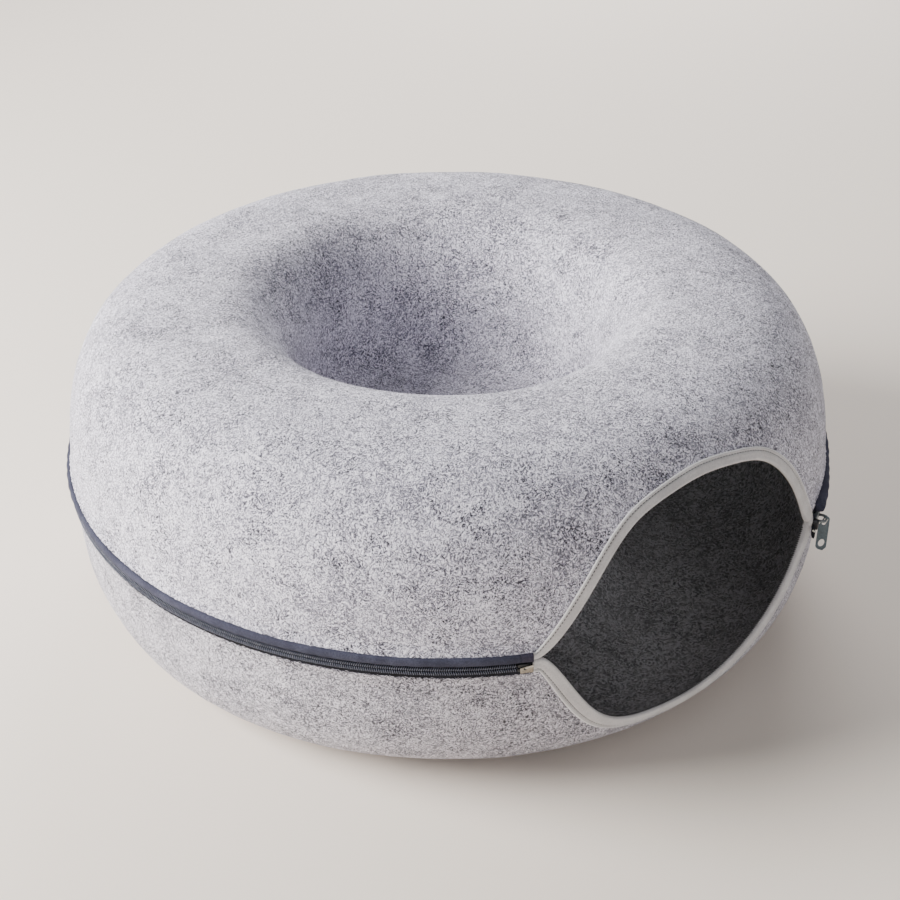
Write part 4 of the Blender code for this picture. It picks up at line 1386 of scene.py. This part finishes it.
def build_slider():
    tail, half, lobe = SLIDER_TAIL_HALF_HEIGHT, SLIDER_HALF_LENGTH, LOBE_RADIUS
    corner = SLIDER_TAIL_CORNER
    outline = arc((half - corner, corner - tail), corner, -math.pi / 2, 0, 4)
    outline += arc((half - corner, tail - corner), corner, 0, math.pi / 2, 4)
    outline += arc((lobe - half, lobe), lobe, math.pi / 2, LOBE_ANGLES[1])
    outline += arc((lobe - half, -lobe), lobe, LOBE_ANGLES[0], math.pi * 3 / 2)
    parts = []

    def add_block(low, high, bevel, z, slant=0):
        points, faces = block(low, high, bevel)
        middle, half_depth = (TAPE_RADIUS + TAPE_FACE_RADIUS) / 2, (TAPE_FACE_RADIUS - TAPE_RADIUS) / 2
        lean = slant * (np.hypot(points[:, 0], points[:, 1]) - middle) / half_depth
        parts.append((zip_place(points[:, 0], points[:, 1], z + points[:, 2] + lean), faces))

    for near, far in (PLATE_RADII, BACK_PLATE_RADII):
        points, faces = plate(outline, [], far - near, CASTING_BEVEL)
        out = (near + far) / 2 + points[:, 2]
        parts.append((zip_place(points[:, 0], out, ZIP_Z + points[:, 1]), faces))
    for side in (-1, 1):
        inner, outer = sorted((side * (SLIDER_HALF_HEIGHT - FLANGE_THICKNESS), side * SLIDER_HALF_HEIGHT))
        low = (lobe - half, FLANGE_RADII[0], inner)
        add_block(low, (half - corner, FLANGE_RADII[1], outer), CASTING_BEVEL, ZIP_Z)
    start = 0.5 * lobe - half
    near, far = TAPE_RADIUS - CASTING_BEVEL, TAPE_FACE_RADIUS + CASTING_BEVEL / 2
    back = BACK_PLATE_RADII[0] + CASTING_BEVEL
    stub = (back, near + CASTING_BEVEL / 2, POST_HALF_THICKNESS, -TAPE_SLANT, 0)
    web = (near, far, POST_WEB_HALF_THICKNESS, 0, TAPE_SLANT)
    post = (far - CASTING_BEVEL / 4, PLATE_RADII[1] - CASTING_BEVEL, POST_HALF_THICKNESS, 0, 0)
    for near, far, thick, rise, slant in (stub, web, post):
        add_block((start, near, -thick), (start + POST_LENGTH, far, thick), thick / 4, ZIP_Z + rise, slant)
    for side in (-1, 1):
        foot, tall = side * BRIDGE_HALF_SPAN, BRIDGE_FOOT_SHARE * BRIDGE_HALF_WIDTH
        low = (foot - BRIDGE_HALF_WIDTH, PLATE_RADII[1] - CASTING_BEVEL, -tall)
        high = (foot + BRIDGE_HALF_WIDTH, PLATE_RADII[1] + CASTING_BEVEL, tall)
        add_block(low, high, FINE_BEVEL_SHARE * CASTING_BEVEL, PIVOT.z)
    dress(joined("slider_casting", parts), "gunmetal", "slider", "gunmetal", "slider_body")

    foot = PLATE_RADII[1] + CASTING_BEVEL
    turns = np.linspace(0, math.pi, BRIDGE_STEPS + 1)
    across = signed_power(np.cos(turns), 0.5) * BRIDGE_HALF_SPAN
    out = foot + (BRIDGE_RADIUS - foot) * np.sin(turns) ** 0.5
    way = unit(np.stack([np.gradient(across), np.gradient(out)], axis=1))
    sections = []
    for turn in 2 * math.pi * np.arange(BRIDGE_SIDES) / BRIDGE_SIDES:
        rise = BRIDGE_HALF_WIDTH * signed_power(math.sin(turn), BRIDGE_POWER)
        lift = BRIDGE_HALF_THICKNESS * signed_power(math.cos(turn), BRIDGE_POWER)
        sections.append(zip_place(across - way[:, 1] * lift, out + way[:, 0] * lift, PIVOT.z + rise))
    dress(swept("bridge", np.stack(sections, axis=1)), "gunmetal", "slider", "gunmetal", "slider_bridge")


def tab_outline():
    """The pull tab's outline as (outwards, up) from the bridge, with its slanted slot and its oval eye."""
    outer, inner, foot = TAB_HEAD, TAB_HEAD - TAB_WIDTH, TAB_HEAD - TAB_LENGTH
    outline = arc((0, 0), TAB_HEAD, 0, math.pi * 3 / 4)
    outline.append((outer - TAB_NECK_WIDTH, -TAB_SHOULDER / 2))
    outline.append((inner, -TAB_SHOULDER - TAB_NECK_LENGTH / 2))
    outline += arc((inner + TAB_CORNER, foot + TAB_CORNER), TAB_CORNER, math.pi, math.pi * 3 / 2)
    outline += [(outer - TAB_CHAMFER, foot), (outer, foot + 1.4 * TAB_CHAMFER)]
    tilt = TAB_SLOT_TILT
    run = (-math.sin(tilt) * TAB_SLOT_RUN, -math.cos(tilt) * TAB_SLOT_RUN)
    slot = arc((0, 0), TAB_SLOT_RADIUS, -tilt, math.pi - tilt)
    slot += arc(run, TAB_SLOT_RADIUS, math.pi - tilt, 2 * math.pi - tilt)
    sine, cosine = math.sin(TAB_EYE_TILT), math.cos(TAB_EYE_TILT)
    eye = []
    for x, y in arc((0, 0), 1, 0, 2 * math.pi, 24)[:-1]:
        side, up = x * TAB_EYE_RADII[0], y * TAB_EYE_RADII[1]
        across = (outer + inner) / 2 + side * cosine + up * sine
        eye.append((across, foot + TAB_EYE_RISE + up * cosine - side * sine))
    return outline, slot, eye


def build_tab():
    outline, slot, eye = tab_outline()
    core = TAB_THICKNESS - 2 * TAB_PANEL_DEPTH
    parts = []
    for edge, holes, thickness, bevel in (
        (outline, [slot, eye], core, TAB_BEVEL),
        (outline, [grown(outline, -TAB_BORDER)], TAB_THICKNESS, TAB_BEVEL),
        (grown(slot, SLOT_RIM_SHARE * TAB_BORDER), [slot], TAB_THICKNESS, FINE_BEVEL_SHARE * TAB_BEVEL),
        (grown(eye, EYE_RIM_SHARE * TAB_BORDER), [eye], TAB_THICKNESS, FINE_BEVEL_SHARE * TAB_BEVEL),
    ):
        points, faces = plate(edge, holes, thickness, bevel)
        out = BRIDGE_RADIUS + points[:, 0]
        parts.append((zip_place(points[:, 2], out, PIVOT.z + points[:, 1]), faces))
    dress(joined("pull", parts), "gunmetal_pull", "pull", "gunmetal", "pull_tab")


# The floor, the camera and the lights

FLOOR_SIZE = 6.0
FLOOR_LEVEL = -0.0004
FLOOR_COLOUR = (0.86, 0.775, 0.68)
CAMERA_TURN = math.radians(-36.7)
CAMERA_BACK = 1.1210
CAMERA_RISE = 0.6867
CAMERA_PITCH = 0.56462
CAMERA_YAW = 0.00153
CAMERA_ROLL = 0.00799
CAMERA_LENS = 64.38
CAMERA_SENSOR = 36.0
LIGHT_AIM_HEIGHT = 0.12
# Each light's place as the camera sees it, its size, its power and its colour
LIGHTS = {
    "key": ((-2.1, -0.25, 1.15), 1.5, 182.0, (1.0, 0.985, 0.965)),
    "back": ((0.3, 2.3, 1.30), 1.8, 60.0, (0.98, 0.98, 1.0)),
    "fill": ((0.2, -2.3, 0.70), 1.6, 10.0, (0.97, 0.98, 1.0)),
    "side": ((2.2, 0.3, 0.22), 0.5, 7.0, (1.0, 0.99, 0.97)),
}
WORLD_COLOUR = (0.96, 0.96, 1.0)
WORLD_STRENGTH = 0.30


def build_floor():
    shader = new_material("floor_pale", 0.9)[1]
    set_colour(shader.inputs["Base Color"], FLOOR_COLOUR)
    corners = ((-1, -1), (1, -1), (1, 1), (-1, 1))
    vertices = [(x * FLOOR_SIZE, y * FLOOR_SIZE, FLOOR_LEVEL) for x, y in corners]
    floor = add_mesh("floor", vertices, [(0, 1, 2, 3)], smooth=False)
    floor.data.materials.append(MATERIALS["floor_pale"])


def photo_place(across, away, up):
    """A place given as the camera sees it: to the right, away from it, and up from the floor."""
    moved = Matrix.Rotation(CAMERA_TURN, 4, "Z") @ Vector((across, away, 0))
    return Vector((AXIS.x + moved.x, AXIS.y + moved.y, up))


def build_camera():
    data = bpy.data.cameras.new("camera")
    data.lens = CAMERA_LENS
    data.sensor_width = CAMERA_SENSOR
    camera = bpy.data.objects.new("camera", data)
    bpy.context.scene.collection.objects.link(camera)
    place = photo_place(0, -CAMERA_BACK, EQUATOR_Z + CAMERA_RISE)
    aim = Matrix.Translation(place)
    for turn, axis in (CAMERA_TURN - CAMERA_YAW, "Z"), (math.pi / 2 - CAMERA_PITCH, "X"), (-CAMERA_ROLL, "Z"):
        aim = aim @ Matrix.Rotation(turn, 4, axis)
    camera.matrix_world = aim
    bpy.context.scene.camera = camera


def build_lights():
    centre = Vector((AXIS.x, AXIS.y, LIGHT_AIM_HEIGHT))
    for name, (place, size, power, colour) in LIGHTS.items():
        data = bpy.data.lights.new(name, "AREA")
        data.shape = "DISK"
        data.size = size
        data.energy = power
        data.color = colour
        made = bpy.data.objects.new(name, data)
        bpy.context.scene.collection.objects.link(made)
        made.location = photo_place(*place)
        made.rotation_euler = (centre - made.location).to_track_quat("-Z", "Y").to_euler()
    world = bpy.data.worlds.new("soft_room")
    bpy.context.scene.world = world
    world.use_nodes = True
    background = world.node_tree.nodes["Background"]
    set_colour(background.inputs["Color"], WORLD_COLOUR)
    background.inputs["Strength"].default_value = WORLD_STRENGTH


def main():
    build_camera()
    make_materials()
    build_felt()
    for half in (UPPER, LOWER):
        build_lip(half)
        build_binding(half)
    build_zip()
    build_zip_ends()
    build_slider()
    build_tab()
    build_floor()
    build_lights()


main()
